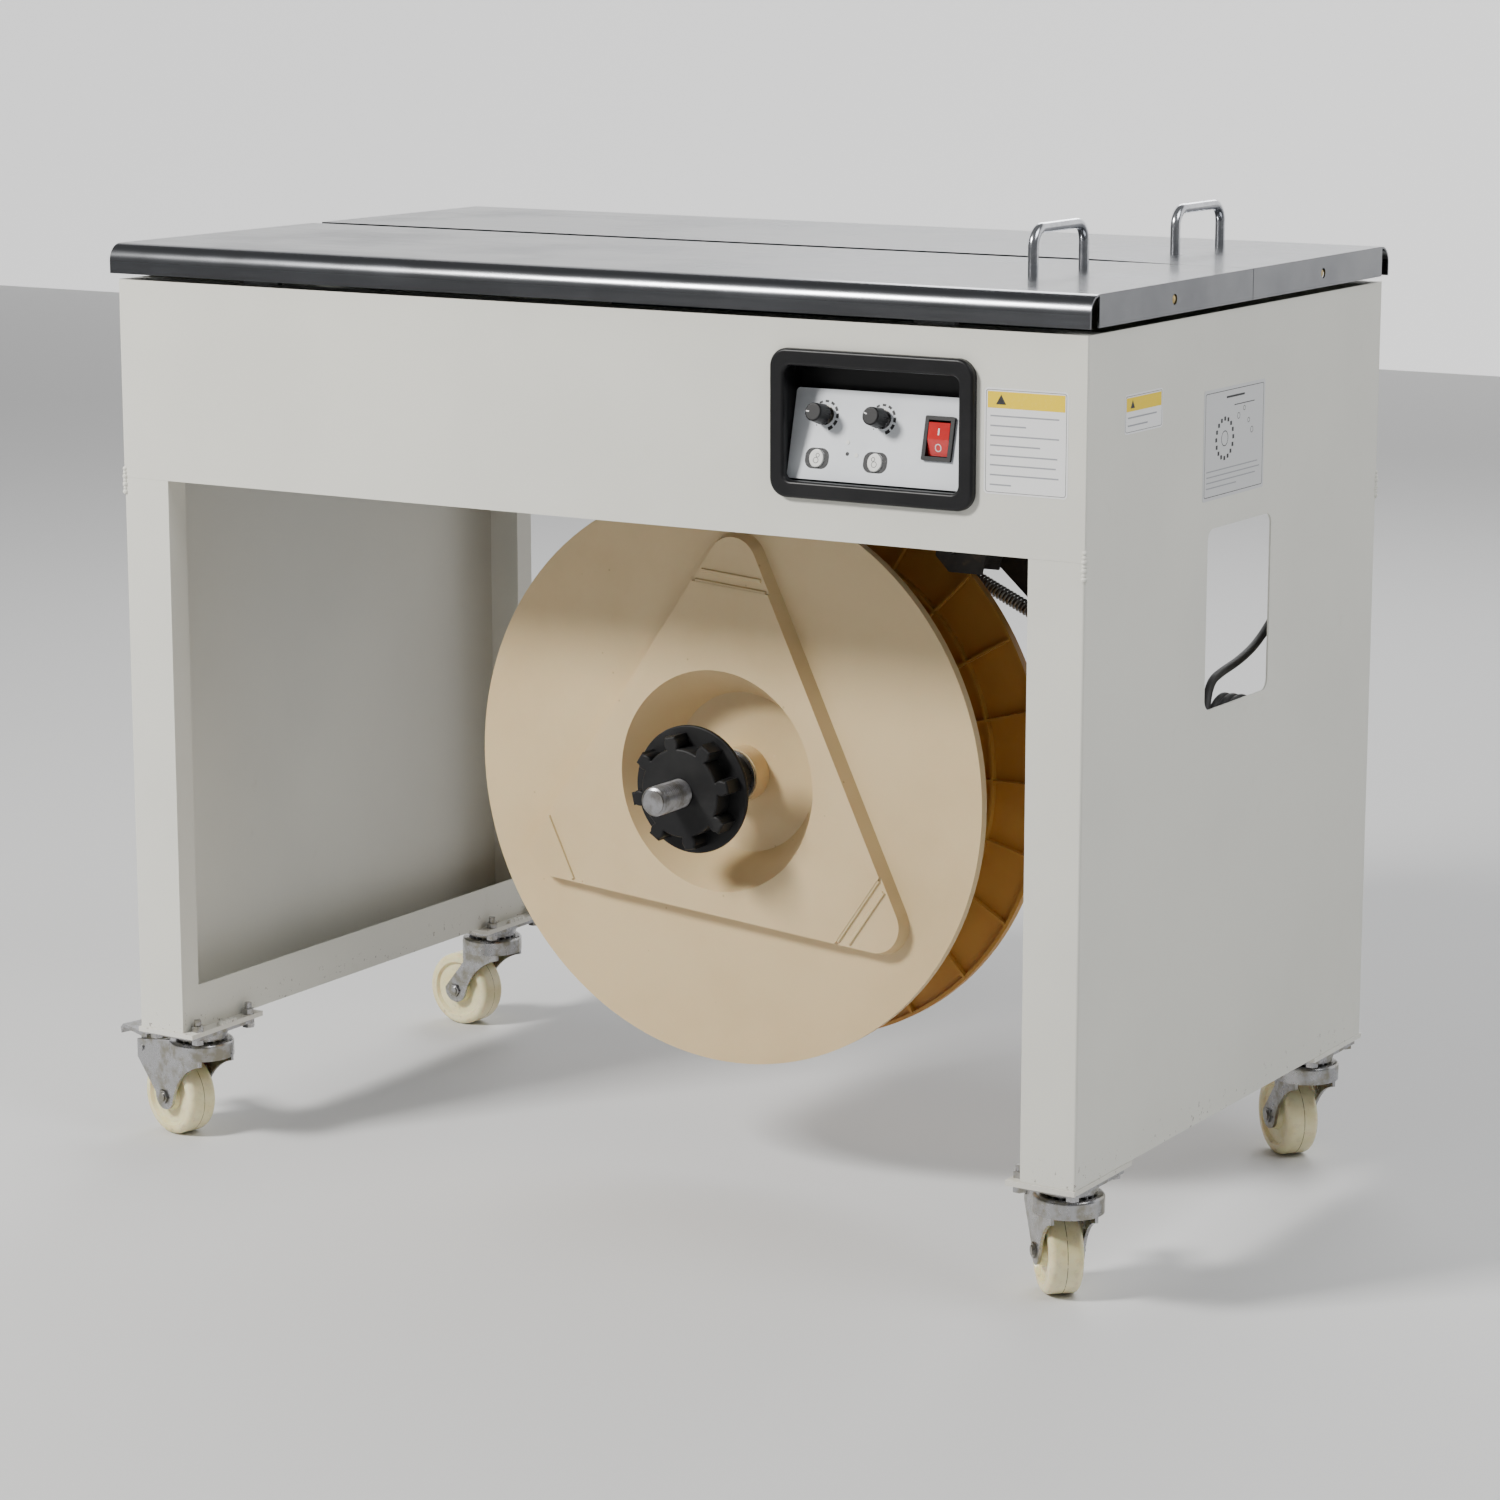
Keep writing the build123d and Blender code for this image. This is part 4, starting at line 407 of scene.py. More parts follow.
cordData = bpy.data.curves.new("powerCord", "CURVE")
cordData.dimensions = "3D"
cordData.bevel_depth = cordFacts["diameter"] / 2 * mm
cordData.bevel_resolution = 5
cordData.resolution_u = 6
cordData.use_fill_caps = True
line = cordData.splines.new("NURBS")
route = cordRoute + hankRoute()
line.points.add(len(route) - 1)
for point, where in zip(line.points, route):
    point.co = (*place(*where), 1)
line.order_u = 3
line.use_endpoint_u = True
cordData.materials.append(jacket)
powerCord = addObject("powerCord", cordData)
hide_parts("cord_run", "cord_hank")
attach(powerCord, "frame")


class Growth(NodeTree):
    # a geometry node tree with named inputs, run once on an empty mesh and turned into a plain mesh
    def __init__(self, name, **sizes):
        self.tree = bpy.data.node_groups.new(name, "GeometryNodeTree")
        self.sizes = sizes
        self.keys = {}
        self.tree.interface.new_socket("Geometry", in_out="INPUT", socket_type="NodeSocketGeometry")
        for key, value in sizes.items():
            kind = "NodeSocketInt" if isinstance(value, int) else "NodeSocketFloat"
            socket = self.tree.interface.new_socket(key, in_out="INPUT", socket_type=kind)
            self.keys[key] = socket.identifier
        self.tree.interface.new_socket("Geometry", in_out="OUTPUT", socket_type="NodeSocketGeometry")
        self.entry = self.tree.nodes.new("NodeGroupInput")
        self.exit = self.tree.nodes.new("NodeGroupOutput")

    def size(self, key):
        return Signal(self.tree, self.entry.outputs[key])

    def grow(self, name, geometry, finish):
        solid = self.node("GeometryNodeRealizeInstances", Geometry=geometry)
        done = self.node("GeometryNodeSetMaterial", Geometry=solid, Material=finish)
        feed(self.tree, self.exit.inputs[0], done)
        holder = addObject(name, bpy.data.meshes.new(name))
        modifier = holder.modifiers.new("growth", "NODES")
        modifier.node_group = self.tree
        for key, value in self.sizes.items():
            modifier[self.keys[key]] = value
        graph = bpy.context.evaluated_depsgraph_get()
        made = bpy.data.meshes.new_from_object(holder.evaluated_get(graph))
        bpy.data.objects.remove(holder)
        made.name = name
        return made


def turned(direction, start):
    # matrix that takes +Z to the direction and the origin to the start
    return Matrix.Translation(start) @ direction.to_track_quat("Z", "Y").to_matrix().to_4x4()


print("stage: brake spring")
coilFacts = dict(radius=5.05, wire=1.2, turns=44, hook=5.5, steps=26, reach=12.5, neck=10.5, neckRise=1.0,
                 wireSides=8, hookPoints=22, hookStart=18, hookSweep=0.92)
springLow, springHigh = (Vector(corner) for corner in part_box("brake_spring"))
hookOut = (coilFacts["hook"] + coilFacts["wire"]) * mm
springY = (springLow.y + springHigh.y) / 2
springStart = Vector((springLow.x + hookOut, springY, springHigh.z - hookOut))
springEnd = Vector((springHigh.x - hookOut, springY, springLow.z + hookOut))
springWay = (springEnd - springStart).normalized()
springLength = (springEnd - springStart).length
coilLength = springLength - 2 * coilFacts["reach"] * mm
coil = Growth("closeCoil", Turns=float(coilFacts["turns"]), Radius=coilFacts["radius"] * mm,
              Length=coilLength, Wire=coilFacts["wire"] * mm)
spiral = coil.node("GeometryNodeCurveSpiral", Resolution=coilFacts["steps"], Rotations=coil.size("Turns"),
                   Start_Radius=coil.size("Radius"), End_Radius=coil.size("Radius"), Height=coil.size("Length"))
wireRing = coil.node("GeometryNodeCurvePrimitiveCircle", Resolution=7, Radius=coil.size("Wire"))
wound = coil.node("GeometryNodeCurveToMesh", at0=spiral, at1=wireRing)
springMesh = coil.grow("brakeCoil", wound, springSteel)
springMesh.transform(turned(springWay, springStart + springWay * coilFacts["reach"] * mm))
bm = bmesh.new()
bm.from_mesh(springMesh)


def tube(bm, points, radius, sides):
    # round wire along a list of points, with flat ends
    rings = []
    sideways = None
    for index, point in enumerate(points):
        before = points[index - 1] if index else point
        after = points[index + 1] if index < len(points) - 1 else point
        way = (after - before).normalized()
        if sideways is None:
            sideways = way.orthogonal().normalized()
        sideways = (sideways - way * sideways.dot(way)).normalized()
        up = way.cross(sideways)
        rings.append([bm.verts.new(point + (sideways * cos(a) + up * sin(a)) * radius)
                      for a in (2 * pi * k / sides for k in range(sides))])
    for first, second in zip(rings, rings[1:]):
        for k in range(sides):
            bm.faces.new((first[k], first[(k + 1) % sides], second[(k + 1) % sides], second[k]))
    bm.faces.new(rings[0][::-1])
    bm.faces.new(rings[-1])


springUp = Vector((0, 1, 0)).cross(springWay)
for centre, outwards in ((springStart, -1), (springEnd, 1)):
    inwards = springWay * (-outwards)
    hookPath = [centre + inwards * coilFacts["reach"] * mm + springUp * coilFacts["radius"] * mm * 0.9,
                centre + inwards * coilFacts["neck"] * mm + springUp * coilFacts["neckRise"] * mm]
    for step in range(coilFacts["hookPoints"]):
        share = step / (coilFacts["hookPoints"] - 1)
        turn = pi - radians(coilFacts["hookStart"]) - 2 * pi * coilFacts["hookSweep"] * share
        hookPath.append(centre + springWay * outwards * cos(turn) * coilFacts["hook"] * mm
                        + springUp * sin(turn) * coilFacts["hook"] * mm)
    tube(bm, hookPath, coilFacts["wire"] * mm, coilFacts["wireSides"])
bm.to_mesh(springMesh)
bm.free()
springMesh.shade_smooth()
brakeCoil = addObject("brakeCoil", springMesh)
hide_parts("brake_spring")
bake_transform(brakeCoil)

print("stage: shaft thread")
shaftFacts = dict(radius=12.0, leastRadius=8.5, sides=48, pitch=2.5, depth=1.1, length=72.0, perTurn=8,
                  chamfer=2.5, fade=3, collarStart=206.2, collarRadius=42.0, collarThick=6, collarEdge=1.5,
                  endEdge=1)
shaftLow, shaftHigh = (Vector(corner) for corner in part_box("reel_shaft"))
reelLow, reelHigh = (Vector(corner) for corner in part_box("reel_front_flange"))
reelAxis = Vector(((reelLow.x + reelHigh.x) / 2, 0, (reelLow.z + reelHigh.z) / 2))


def threadRadius(along, turn):
    phase = (along / shaftFacts["pitch"] + turn / (2 * pi)) % 1.0
    groove = abs(phase - 0.5) * 2
    cut = shaftFacts["depth"] * max(0.0, 1 - groove * 1.25)
    chamfer = max(0.0, shaftFacts["chamfer"] - along) * 0.9
    fade = min(1.0, max(0.0, (shaftFacts["length"] - along) / shaftFacts["fade"]))
    return max(shaftFacts["leastRadius"], shaftFacts["radius"] - cut * fade - chamfer)


def shaftRing(bm, along, radiusAt):
    # ring of points round the shaft, with a radius for each turn
    turns = [2 * pi * k / shaftFacts["sides"] for k in range(shaftFacts["sides"])]
    return [bm.verts.new((reelAxis.x + cos(turn) * radiusAt(turn) * mm, shaftLow.y + along * mm,
                          reelAxis.z + sin(turn) * radiusAt(turn) * mm)) for turn in turns]


bm = bmesh.new()
ringCount = int(shaftFacts["length"] / shaftFacts["pitch"] * shaftFacts["perTurn"])
rings = []
for index in range(ringCount + 1):
    along = shaftFacts["length"] * index / ringCount
    rings.append(shaftRing(bm, along, lambda turn: threadRadius(along, turn)))
bare, collar = shaftFacts["radius"], shaftFacts["collarRadius"]
collarStart, edge = shaftFacts["collarStart"], shaftFacts["collarEdge"]
collarEnd = collarStart + shaftFacts["collarThick"]
deepEnd = (shaftHigh.y - shaftLow.y) / mm
profile = [(collarStart, bare), (collarStart, collar - edge), (collarStart + edge, collar),
           (collarEnd - edge, collar), (collarEnd, collar - edge), (collarEnd, bare),
           (deepEnd - shaftFacts["endEdge"], bare), (deepEnd, bare - shaftFacts["endEdge"]), (deepEnd, 0.01)]
for along, radius in profile:
    rings.append(shaftRing(bm, along, lambda turn: radius))
for first, second in zip(rings, rings[1:]):
    for k in range(shaftFacts["sides"]):
        after = (k + 1) % shaftFacts["sides"]
        bm.faces.new((first[k], first[after], second[after], second[k]))
bm.faces.new(rings[0])
bmesh.ops.remove_doubles(bm, verts=rings[-1], dist=0.00005)
reelShaft = fromBmesh("threadedShaft", bm, "reel", shaftSteel)
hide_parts("reel_shaft")

print("stage: reel ridges")
ridgeFacts = dict(reaches=(158.5, 167.5), width=4.0, rise=1.5, sunk=0.3, slope=0.9, trim=0.6, gap=0.8,
                  inset=2.0, turn=-4.6, corner=22.0, tip=200.0)
rearFlangeHigh = Vector(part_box("reel_rear_flange")[1])
flanges = [(reelLow.y + ridgeFacts["inset"] * mm, -1), (rearFlangeHigh.y - ridgeFacts["inset"] * mm, 1)]


def ridgeHalf(reach):
    # half of the triangle's width where the ridge crosses it
    middleReach = ridgeFacts["tip"] - ridgeFacts["corner"]
    whole = (middleReach - reach) * tan(radians(30)) + ridgeFacts["corner"] / cos(radians(30))
    return whole - ridgeFacts["gap"]


# across a ridge: how far out, how high, and how much shorter at each end
ridgeRows = ((0, -ridgeFacts["sunk"], 0), (ridgeFacts["slope"], ridgeFacts["rise"], ridgeFacts["trim"]),
             (ridgeFacts["width"] - ridgeFacts["slope"], ridgeFacts["rise"], ridgeFacts["trim"]),
             (ridgeFacts["width"], -ridgeFacts["sunk"], 0))
bm = bmesh.new()
for level, way in flanges:
    for third in range(3):
        out = radians(90 + ridgeFacts["turn"] + 120 * third)
        outwards = Vector((cos(out), 0, sin(out)))
        along = Vector((-sin(out), 0, cos(out)))
        for reach in ridgeFacts["reaches"]:
            half = min(ridgeHalf(reach), ridgeHalf(reach + ridgeFacts["width"]))
            rows = []
            for shift, height, trim in ridgeRows:
                start = Vector((reelAxis.x, level, reelAxis.z)) + outwards * (reach + shift) * mm
                start += Vector((0, way, 0)) * height * mm
                rows.append([bm.verts.new(start + along * (half - trim) * sign * mm) for sign in (-1, 1)])
            for first, second in zip(rows, rows[1:]):
                bm.faces.new((first[0], first[1], second[1], second[0]))
            bm.faces.new([row[0] for row in rows])
            bm.faces.new([row[1] for row in rows][::-1])
            bm.faces.new((rows[0][0], rows[-1][0], rows[-1][1], rows[0][1]))
fromBmesh("tipRidges", bm, "reel", reelFront)

print("stage: control panel")
plateFacts = dict(x=268.5, footY=-256.0, footZ=618.0, lean=13.4)
faceFacts = dict(front=-260.5, right=444)
lean = radians(plateFacts["lean"])


def onPlate(x, v, height=0.0):
    # point on the tilted face plate, x to the right of its middle, v up it, height out of it
    return place(plateFacts["x"] + x,
                 plateFacts["footY"] + v * sin(lean) - height * cos(lean),
                 plateFacts["footZ"] + v * cos(lean) + height * sin(lean))


def onFront(x, z, height=0.0):
    return place(x, faceFacts["front"] - height, z)


def onSide(y, z, height=0.0):
    return place(faceFacts["right"] + height, y, z)


def slab(bm, where, outline, low, high, material=0):
    # flat piece with the outline's shape between two heights over a surface
    bottom = [bm.verts.new(where(x, v, low)) for x, v in outline]
    top = [bm.verts.new(where(x, v, high)) for x, v in outline]
    faces = [bm.faces.new(top), bm.faces.new(bottom[::-1])]
    for k in range(len(outline)):
        after = (k + 1) % len(outline)
        faces.append(bm.faces.new((bottom[k], bottom[after], top[after], top[k])))
    for face in faces:
        face.material_index = material


def stadium(x, v, width, height, corner, steps=7):
    # rounded rectangle as a list of points, anticlockwise
    points = []
    for cx, cv, start in ((1, 1, 0), (-1, 1, 90), (-1, -1, 180), (1, -1, 270)):
        for step in range(steps + 1):
            turn = radians(start + 90 * step / steps)
            points.append((x + cx * (width / 2 - corner) + cos(turn) * corner,
                           v + cv * (height / 2 - corner) + sin(turn) * corner))
    return points


def strip(bm, where, x0, x1, v, thick, low, high, material=0):
    slab(bm, where, [(x0, v - thick / 2), (x1, v - thick / 2), (x1, v + thick / 2), (x0, v + thick / 2)],
         low, high, material)


def loop(bm, where, outer, inner, low, high, material=0):
    # flat ring between two outlines with the same number of points
    count = len(outer)
    corners = [[bm.verts.new(where(x, v, height)) for x, v in outline]
               for outline in (outer, inner) for height in (low, high)]
    outLow, outHigh, inLow, inHigh = corners
    for k in range(count):
        after = (k + 1) % count
        for quad in ((outHigh[k], outHigh[after], inHigh[after], inHigh[k]),
                     (inLow[k], inLow[after], outLow[after], outLow[k]),
                     (outLow[k], outLow[after], outHigh[after], outHigh[k]),
                     (inHigh[k], inHigh[after], inLow[after], inLow[k])):
            bm.faces.new(quad).material_index = material


def label(name, bm, materials):
    piece = fromBmesh(name, bm, "frame", None, smooth=False)
    for material in materials:
        piece.data.materials.append(material)


def ink(name, colour, rough=0.5):
    f = Finish(name)
    faded = f.band(f.noise(400, 4, 0.7), 0.5, 0.8) * 0.25
    return f.wear(Base_Color=f.mix(faded, rgb(*colour), rgb(*(0.6 * part + 0.3 for part in colour))),
                  Roughness=rough + 0.1 * f.noise(200, 3, 0.5))


blackInk = ink("blackInk", (0.016, 0.016, 0.018))
greyInk = ink("greyInk", (0.30, 0.31, 0.33))
yellowInk = ink("yellowInk", (0.85, 0.60, 0.0))
whiteFilm = ink("whiteFilm", (0.80, 0.80, 0.80), 0.35)
silverFilm = ink("silverFilm", (0.58, 0.585, 0.59), 0.38)
whiteMark = ink("whiteMark", (0.78, 0.78, 0.78), 0.4)

printFacts = dict(low=0.01, high=0.08, lens=0.35)
dialFacts = dict(inner=9.6, outer=12.2, marks=11, startTurn=232.0, sweep=290.0, halfMark=10.5)
dials = [(-50.3, 48.5), (-1.5, 48.5)]
bm = bmesh.new()
for dialX, dialV in dials:
    for index in range(dialFacts["marks"]):
        share = index / (dialFacts["marks"] - 1)
        middle = radians(dialFacts["startTurn"] - dialFacts["sweep"] * share)
        halfSweep = radians(dialFacts["halfMark"] * (0.25 + 0.75 * share ** 0.5))
        outer = dialFacts["inner"] + (dialFacts["outer"] - dialFacts["inner"]) * (0.32 + 0.68 * share)
        arc = [middle - halfSweep + 2 * halfSweep * step / 5 for step in range(6)]
        outline = [(dialX + cos(a) * outer, dialV + sin(a) * outer) for a in arc]
        outline += [(dialX + cos(a) * dialFacts["inner"], dialV + sin(a) * dialFacts["inner"])
                    for a in arc[::-1]]
        slab(bm, onPlate, outline, printFacts["low"], printFacts["high"])
buttons = [(-52.7, 16.0), (-2.9, 16.0)]
surroundFacts = dict(width=20.4, height=15.6, corner=6.4, holeX=6.5, holeV=7.2)
for buttonX, buttonV in buttons:
    outer = stadium(buttonX, buttonV, surroundFacts["width"], surroundFacts["height"], surroundFacts["corner"])
    turns = [atan2(v - buttonV, x - buttonX) for x, v in outer]
    inner = [(buttonX + cos(turn) * surroundFacts["holeX"], buttonV + sin(turn) * surroundFacts["holeV"])
             for turn in turns]
    loop(bm, onPlate, outer, inner, printFacts["low"], printFacts["high"])
slab(bm, onPlate, stadium(-27.3, 20.9, 3.0, 3.0, 1.5), printFacts["low"], printFacts["high"])
label("panelPrint", bm, [blackInk])

# two small round indicator lenses
bm = bmesh.new()
for x, v in ((-28.0, 29.5), (-19.5, 20.4)):
    slab(bm, onPlate, stadium(x, v, 3.2, 3.2, 1.6), printFacts["low"], printFacts["lens"])
label("indicatorLenses", bm, [whitePlastic])

# a plain mark of two rings on each push button
markFacts = dict(line=0.4, low=1.55, high=1.68)
for name, (buttonX, buttonV), body, slant in (("feedMark", buttons[0], "feed push", 1),
                                              ("startMark", buttons[1], "start push", -1)):
    bm = bmesh.new()
    for centre, radius in (((buttonX, buttonV - 1.6), 2.3), ((buttonX + 1.2 * slant, buttonV + 2.2), 1.6)):
        outer = stadium(*centre, 2 * radius, 2 * radius, radius, 5)
        inside = radius - markFacts["line"]
        inner = stadium(*centre, 2 * inside, 2 * inside, inside, 5)
        loop(bm, onPlate, outer, inner, markFacts["low"], markFacts["high"])
    fromBmesh(name, bm, body, blackInk, smooth=False)

# rocker marks and knob pointers
rockerFacts = dict(x=48.3, v=37.0, back=-2.0, tilt=10.0, crown=4.2, edge=2.4, half=12.3, ink=0.12)


def onRocker():
    # the rocker's two sloping faces, as a surface with its own height
    slope = atan2(rockerFacts["crown"] - rockerFacts["edge"], rockerFacts["half"])
    tilt = radians(rockerFacts["tilt"])

    def where(x, v, height=0.0):
        flatV = v * cos(slope)
        rise = rockerFacts["crown"] - abs(v) * sin(slope) + height
        turnedV = flatV * cos(tilt) - rise * sin(tilt)
        turnedRise = flatV * sin(tilt) + rise * cos(tilt)
        return onPlate(rockerFacts["x"] + x, rockerFacts["v"] + turnedV, rockerFacts["back"] + turnedRise)
    return where


bm = bmesh.new()
surface = onRocker()
slab(bm, surface, [(-0.6, 3.2), (0.6, 3.2), (0.6, 8.2), (-0.6, 8.2)], 0.0, rockerFacts["ink"])
outer = stadium(0, -6.2, 5.2, 6.0, 2.6)
inner = stadium(0, -6.2, 3.8, 4.6, 1.9)
loop(bm, surface, outer, inner, 0.0, rockerFacts["ink"])
fromBmesh("rockerMarks", bm, "rocker", whiteMark, smooth=False)

knobFacts = dict(stand=4.5, length=14.0, halfWidth=0.45, near=3.2, far=5.9, sunk=0.05, proud=0.06)
for name, (dialX, dialV), body, turn in (("feedPointer", dials[0], "feed dial", 176),
                                         ("tensionPointer", dials[1], "tension dial", 158)):
    bm = bmesh.new()
    top = knobFacts["stand"] + knobFacts["length"]
    way = (cos(radians(turn)), sin(radians(turn)))
    across = (-way[1] * knobFacts["halfWidth"], way[0] * knobFacts["halfWidth"])
    ends = [(knobFacts["near"], 1), (knobFacts["near"], -1), (knobFacts["far"], -1), (knobFacts["far"], 1)]
    outline = [(dialX + way[0] * reach + across[0] * sign, dialV + way[1] * reach + across[1] * sign)
               for reach, sign in ends]
    slab(bm, onPlate, outline, top - knobFacts["sunk"], top + knobFacts["proud"])
    fromBmesh(name, bm, body, whiteMark, smooth=False)

print("stage: stickers")
stickerFacts = dict(low=0.02, film=0.16, ink=0.2, header=0.22, sign=0.27, border=2.6, line=0.7, rule=1.1)


def inked(bm, height, outer, inner, material):
    # a printed frame between two outlines on the right side panel
    loop(bm, onSide, stadium(*outer), stadium(*inner), stickerFacts["film"], height, material)


def sticker(name, where, x, v, width, height, header, rows):
    # white film with a frame, a blank yellow header, a plain triangle and rows of grey rules
    low, film, inkTop, border = (stickerFacts[key] for key in ("low", "film", "ink", "border"))
    bm = bmesh.new()
    slab(bm, where, stadium(x, v, width, height, 3), low, film, 0)
    loop(bm, where, stadium(x, v, width - border, height - border, 2),
         stadium(x, v, width - border - stickerFacts["line"], height - border - stickerFacts["line"], 1.8),
         film, inkTop, 2)
    top = v + height / 2 - border
    slab(bm, where, [(x - width / 2 + border, top - header), (x + width / 2 - border, top - header),
                     (x + width / 2 - border, top), (x - width / 2 + border, top)],
         film, stickerFacts["header"], 1)
    base = top - header * 0.78
    apex = top - header * 0.18
    half = (apex - base) * 0.58
    middle = x - width * 0.3
    slab(bm, where, [(middle - half, base), (middle + half, base), (middle, apex)],
         stickerFacts["header"], stickerFacts["sign"], 2)
    left = x - width / 2 + border * 1.9
    for index, share in enumerate(rows):
        row = top - header - (index + 0.8) * (height - header - 2 * border) / (len(rows) + 0.4)
        strip(bm, where, left, left + (width - border * 3.8) * share, row, stickerFacts["rule"], film, inkTop, 3)
    label(name, bm, [whiteFilm, yellowInk, blackInk, greyInk])


sticker("frontSticker", onFront, 395, 657.5, 68, 77, 12, (0.96, 0.5, 0.96, 0.7, 0.94, 0.92, 0.96, 0.3))
sticker("cautionSticker", onSide, -170.5, 674.5, 62, 29, 10, (0.9, 0.62))

# threading diagram: a ring of blocks, a strap line, rollers and rows of plain rules
diagramFacts = dict(x=-15, v=637, width=108, height=84, ringX=-32, ringV=640, ring=15, blocks=16, block=3.2,
                    ruleX=-63, ruleV=617, ruleWidth=96, rulePitch=4.2)
film, inkTop = stickerFacts["film"], stickerFacts["ink"]
middle = (diagramFacts["x"], diagramFacts["v"])
hub = (diagramFacts["ringX"], diagramFacts["ringV"])
bm = bmesh.new()
slab(bm, onSide, stadium(*middle, diagramFacts["width"], diagramFacts["height"], 2), stickerFacts["low"], film, 0)
inked(bm, inkTop, (*middle, 103, 79, 2), (*middle, 102, 78, 1.6), 1)
strip(bm, onSide, -30, 2, 671, 1.6, film, inkTop, 1)
for index in range(diagramFacts["blocks"]):
    turn = 2 * pi * index / diagramFacts["blocks"]
    centre = (hub[0] + cos(turn) * diagramFacts["ring"], hub[1] + sin(turn) * diagramFacts["ring"])
    slab(bm, onSide, stadium(*centre, diagramFacts["block"], diagramFacts["block"], 0.4), film, inkTop, 1)
inked(bm, inkTop, (*hub, 12, 12, 6), (*hub, 10.6, 10.6, 5.3), 1)
for x, v, size in ((-8, 655, 5), (2, 660, 4), (10, 650, 4), (16, 642, 5)):
    inked(bm, inkTop, (x, v, size, size, size / 2), (x, v, size - 1, size - 1, size / 2 - 0.5), 1)
strip(bm, onSide, -16, 20, 664, 0.7, film, inkTop, 1)
for row, share in enumerate((0.94, 0.98, 0.9, 0.55)):
    strip(bm, onSide, diagramFacts["ruleX"], diagramFacts["ruleX"] + diagramFacts["ruleWidth"] * share,
          diagramFacts["ruleV"] - row * diagramFacts["rulePitch"], 0.9, film, inkTop, 2)
label("threadingSticker", bm, [silverFilm, blackInk, greyInk])

print("stage: screws")
screwFacts = dict(radius=3.8, rise=1.8, inset=0.1, sides=20, rings=10, z=753.0, out=448.0, frontY=-131.0,
                  rearY=133.0, slotLong=5.0, slotWide=0.9, slotDeep=1.2)


def screwHead(name, material):
    # domed head with a cross slot cut into it
    growth = Growth(name, Radius=screwFacts["radius"] * mm, Rise=screwFacts["rise"] * mm)
    dome = growth.node("GeometryNodeMeshUVSphere", Segments=screwFacts["sides"], Rings=screwFacts["rings"],
                       Radius=growth.size("Radius"))
    flat = growth.node("ShaderNodeCombineXYZ", X=1.0, Y=1.0, Z=growth.size("Rise") / growth.size("Radius"))
    flattened = growth.node("GeometryNodeTransform", Geometry=dome, Scale=flat)
    long, wide, deep = (screwFacts[key] * mm for key in ("slotLong", "slotWide", "slotDeep"))
    slots = [growth.node("GeometryNodeMeshCube", Size=size) for size in ((long, wide, deep), (wide, long, deep))]
    joined = growth.node("GeometryNodeJoinGeometry", Geometry=slots)
    tool = growth.node("GeometryNodeTransform", Geometry=joined, Translation=(0, 0, screwFacts["rise"] * mm))
    cut = growth.node("GeometryNodeMeshBoolean", 0, {"operation": "DIFFERENCE"}, at0=flattened, at1=tool)
    return growth.grow(name, cut, material)


def skirtScrews(name, body, y):
    bm = bmesh.new()
    reach = screwFacts["out"] - screwFacts["rise"] - screwFacts["inset"]
    for way in (-1, 1):
        head = screwHead(name + "Head", yellowZinc)
        head.transform(turned(Vector((way, 0, 0)), place(way * reach, y, screwFacts["z"])))
        bm.from_mesh(head)
    fromBmesh(name, bm, body, yellowZinc)


skirtScrews("frontSkirtScrews", "front table", screwFacts["frontY"])
skirtScrews("rearSkirtScrews", "rear table", screwFacts["rearY"])

print("stage: welds and races")
beadFacts = dict(count=7, pitch=3.2, radius=2.6, least=0.8, most=1.1, seed=4)
# each bead's name, x and y from the middle, shift back, height and direction
beadRows = (("seamBead", 443.2, 259.8, 0, 562, (0, 0, 1)), ("legBead", 388.5, 214, -9, 106.8, (0, 1, 0)))
cabinetCorners = [(hand, end) for hand in (-1, 1) for end in (-1, 1)]


def bead(name, start, way):
    growth = Growth(name, Count=beadFacts["count"], Radius=beadFacts["radius"] * mm,
                    Pitch=beadFacts["pitch"] * mm)
    step = growth.node("ShaderNodeCombineXYZ", X=0.0, Y=0.0, Z=growth.size("Pitch"))
    points = growth.node("GeometryNodeMeshLine", Count=growth.size("Count"), Offset=step)
    drop = growth.node("GeometryNodeMeshIcoSphere", Radius=growth.size("Radius"), Subdivisions=2)
    sizes = growth.node("FunctionNodeRandomValue", 1, {"data_type": "FLOAT"}, at2=beadFacts["least"],
                        at3=beadFacts["most"], Seed=beadFacts["seed"])
    laid = growth.node("GeometryNodeInstanceOnPoints", Points=points, Instance=drop, Scale=sizes)
    mesh = growth.grow(name, laid, paint)
    mesh.transform(turned(way, start))
    return mesh


bm = bmesh.new()
for name, x, y, back, z, way in beadRows:
    for hand, end in cabinetCorners:
        bm.from_mesh(bead(name, place(hand * x, end * y + back, z), Vector(way)))
fromBmesh("weldBeads", bm, "frame", paint)

raceFacts = dict(balls=18, ring=19.0, radius=1.9, x=415.5, y=215, z=90.05)
bm = bmesh.new()
for hand, end in cabinetCorners:
    growth = Growth("ballRing", Balls=raceFacts["balls"], Ring=raceFacts["ring"] * mm,
                    Radius=raceFacts["radius"] * mm)
    circle = growth.node("GeometryNodeMeshCircle", Vertices=growth.size("Balls"), Radius=growth.size("Ring"))
    ball = growth.node("GeometryNodeMeshIcoSphere", Radius=growth.size("Radius"), Subdivisions=2)
    laid = growth.node("GeometryNodeInstanceOnPoints", Points=circle, Instance=ball)
    mesh = growth.grow("ballRing", laid, zinc)
    mesh.transform(Matrix.Translation(place(hand * raceFacts["x"], end * raceFacts["y"], raceFacts["z"])))
    bm.from_mesh(mesh)
fromBmesh("casterBalls", bm, "frame", zinc)

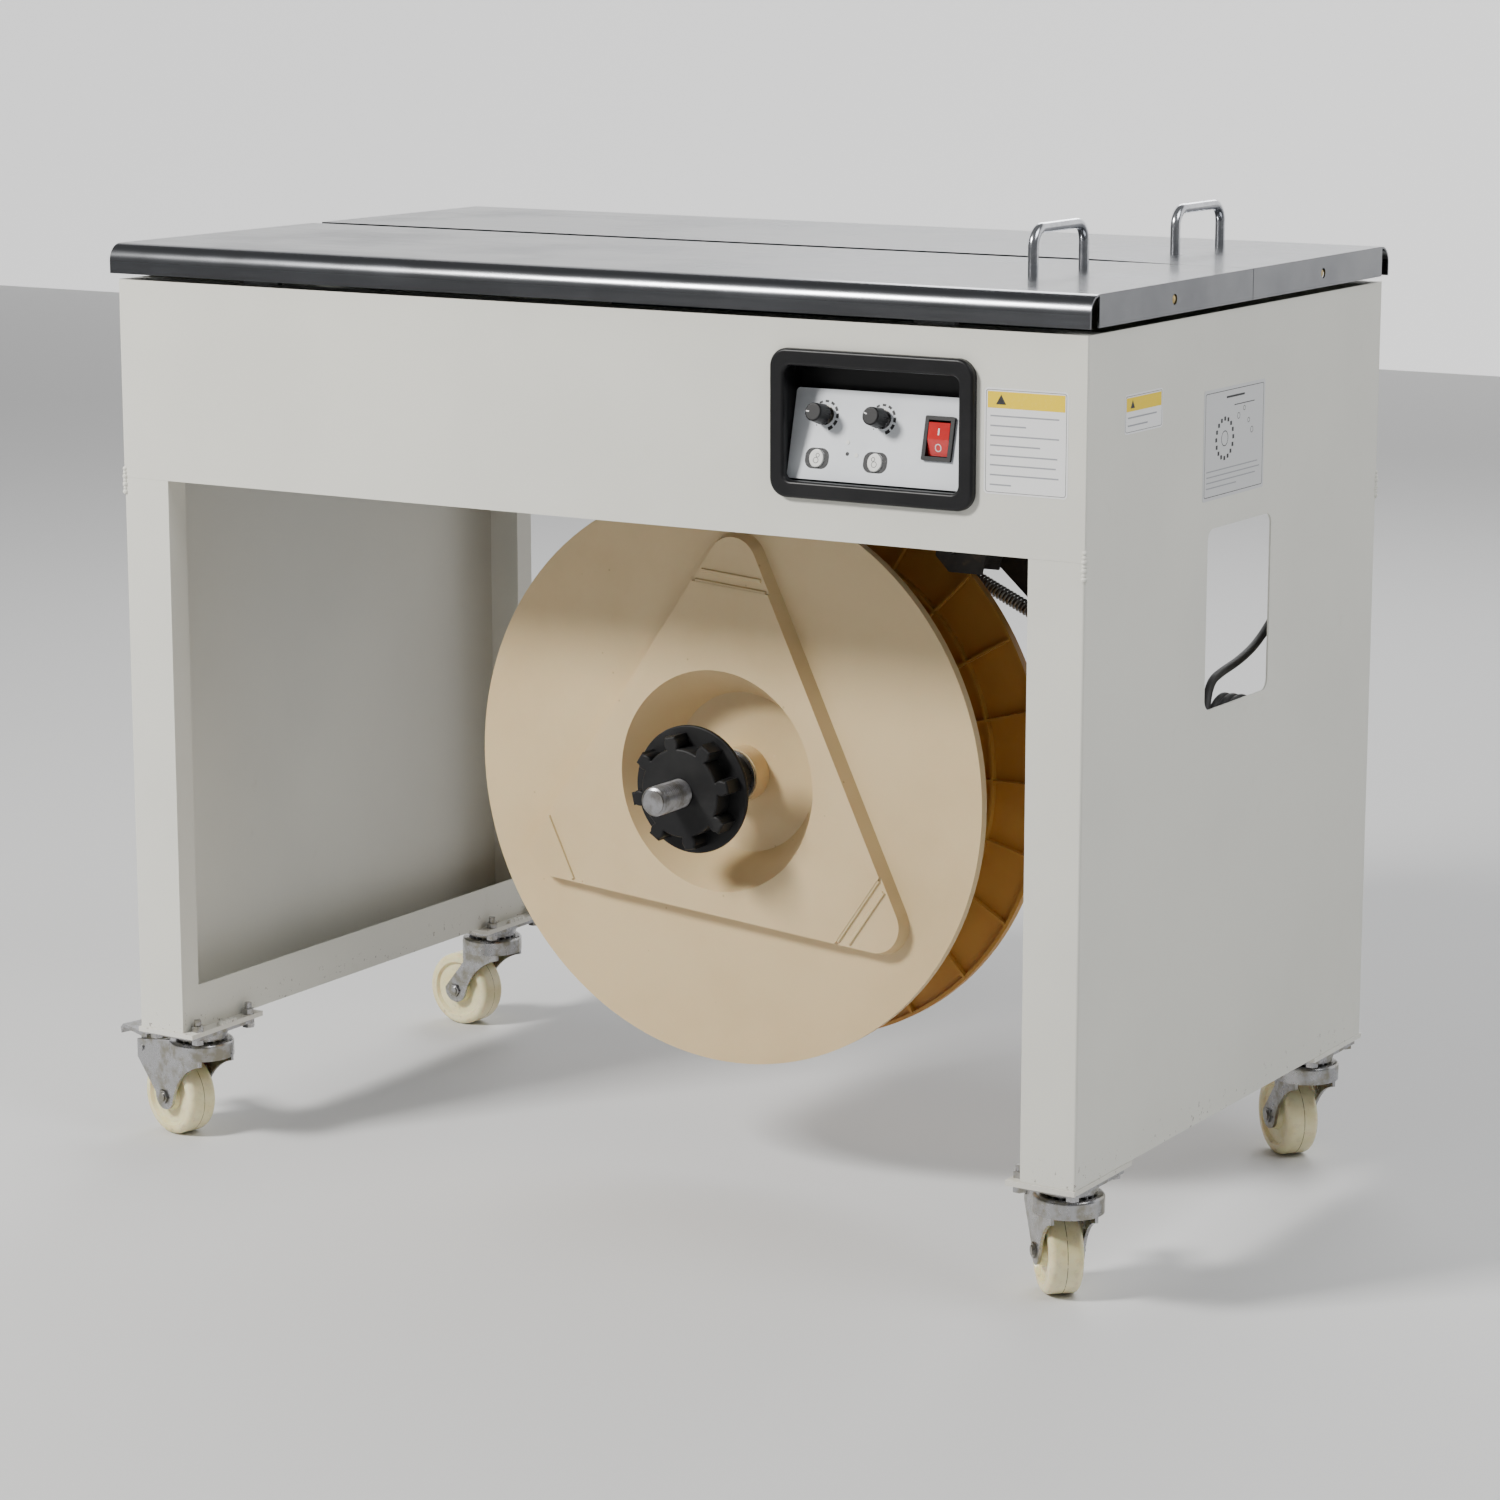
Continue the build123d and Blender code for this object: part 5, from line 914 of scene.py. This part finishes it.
print("stage: room")
roomFacts = dict(half=14, wallY=6, wallHigh=7, skyStrength=0.20)
floorMesh = bpy.data.meshes.new("floor")
bm = bmesh.new()
bmesh.ops.create_grid(bm, x_segments=1, y_segments=1, size=roomFacts["half"])
bm.to_mesh(floorMesh)
bm.free()
floor = addObject("floor", floorMesh)
floorFinish = Finish("floorFinish", Specular_IOR_Level=0.2)
floorMesh.materials.append(floorFinish.wear(Base_Color=rgb(0.64, 0.64, 0.64), Roughness=0.75))

world = bpy.data.worlds.new("studio")
bpy.context.scene.world = world
world.use_nodes = True
sky = world.node_tree.nodes["Background"]
sky.inputs["Color"].default_value = rgb(0.97, 0.98, 1.0)
sky.inputs["Strength"].default_value = roomFacts["skyStrength"]


def softbox(name, where, target, size, power, colour):
    light = bpy.data.lights.new(name, "AREA")
    light.shape = "RECTANGLE"
    light.size, light.size_y = size
    light.energy = power
    light.color = colour
    lamp = addObject(name, light)
    lamp.location = where
    lamp.visible_camera = False
    lamp.rotation_euler = (Vector(target) - Vector(where)).to_track_quat("-Z", "Y").to_euler()


softbox("key", (-1.7, -2.9, 2.8), (0, 0, 0.45), (0.8, 0.8), 222, (1.0, 0.985, 0.955))
softbox("fill", (2.3, -0.5, 2.9), (0.4, 0, 0.4), (1.6, 1.6), 52, (0.97, 0.985, 1.0))
softbox("back", (-0.8, 3.0, 2.6), (0, 0, 0.5), (2.0, 1.4), 60, (0.98, 0.99, 1.0))

wallMesh = bpy.data.meshes.new("wall")
bm = bmesh.new()
half, wallY, wallHigh = roomFacts["half"], roomFacts["wallY"], roomFacts["wallHigh"]
bm.faces.new([bm.verts.new((x, wallY, z)) for x, z in ((-half, -0.01), (half, -0.01), (half, wallHigh),
                                                       (-half, wallHigh))])
bm.to_mesh(wallMesh)
bm.free()
wall = addObject("wall", wallMesh)
wallFinish = Finish("wallFinish", Emission_Strength=0.9)
wallMesh.materials.append(wallFinish.wear(Base_Color=rgb(0.8, 0.8, 0.8), Roughness=0.9,
                                          Emission_Color=rgb(1.0, 1.0, 1.0)))
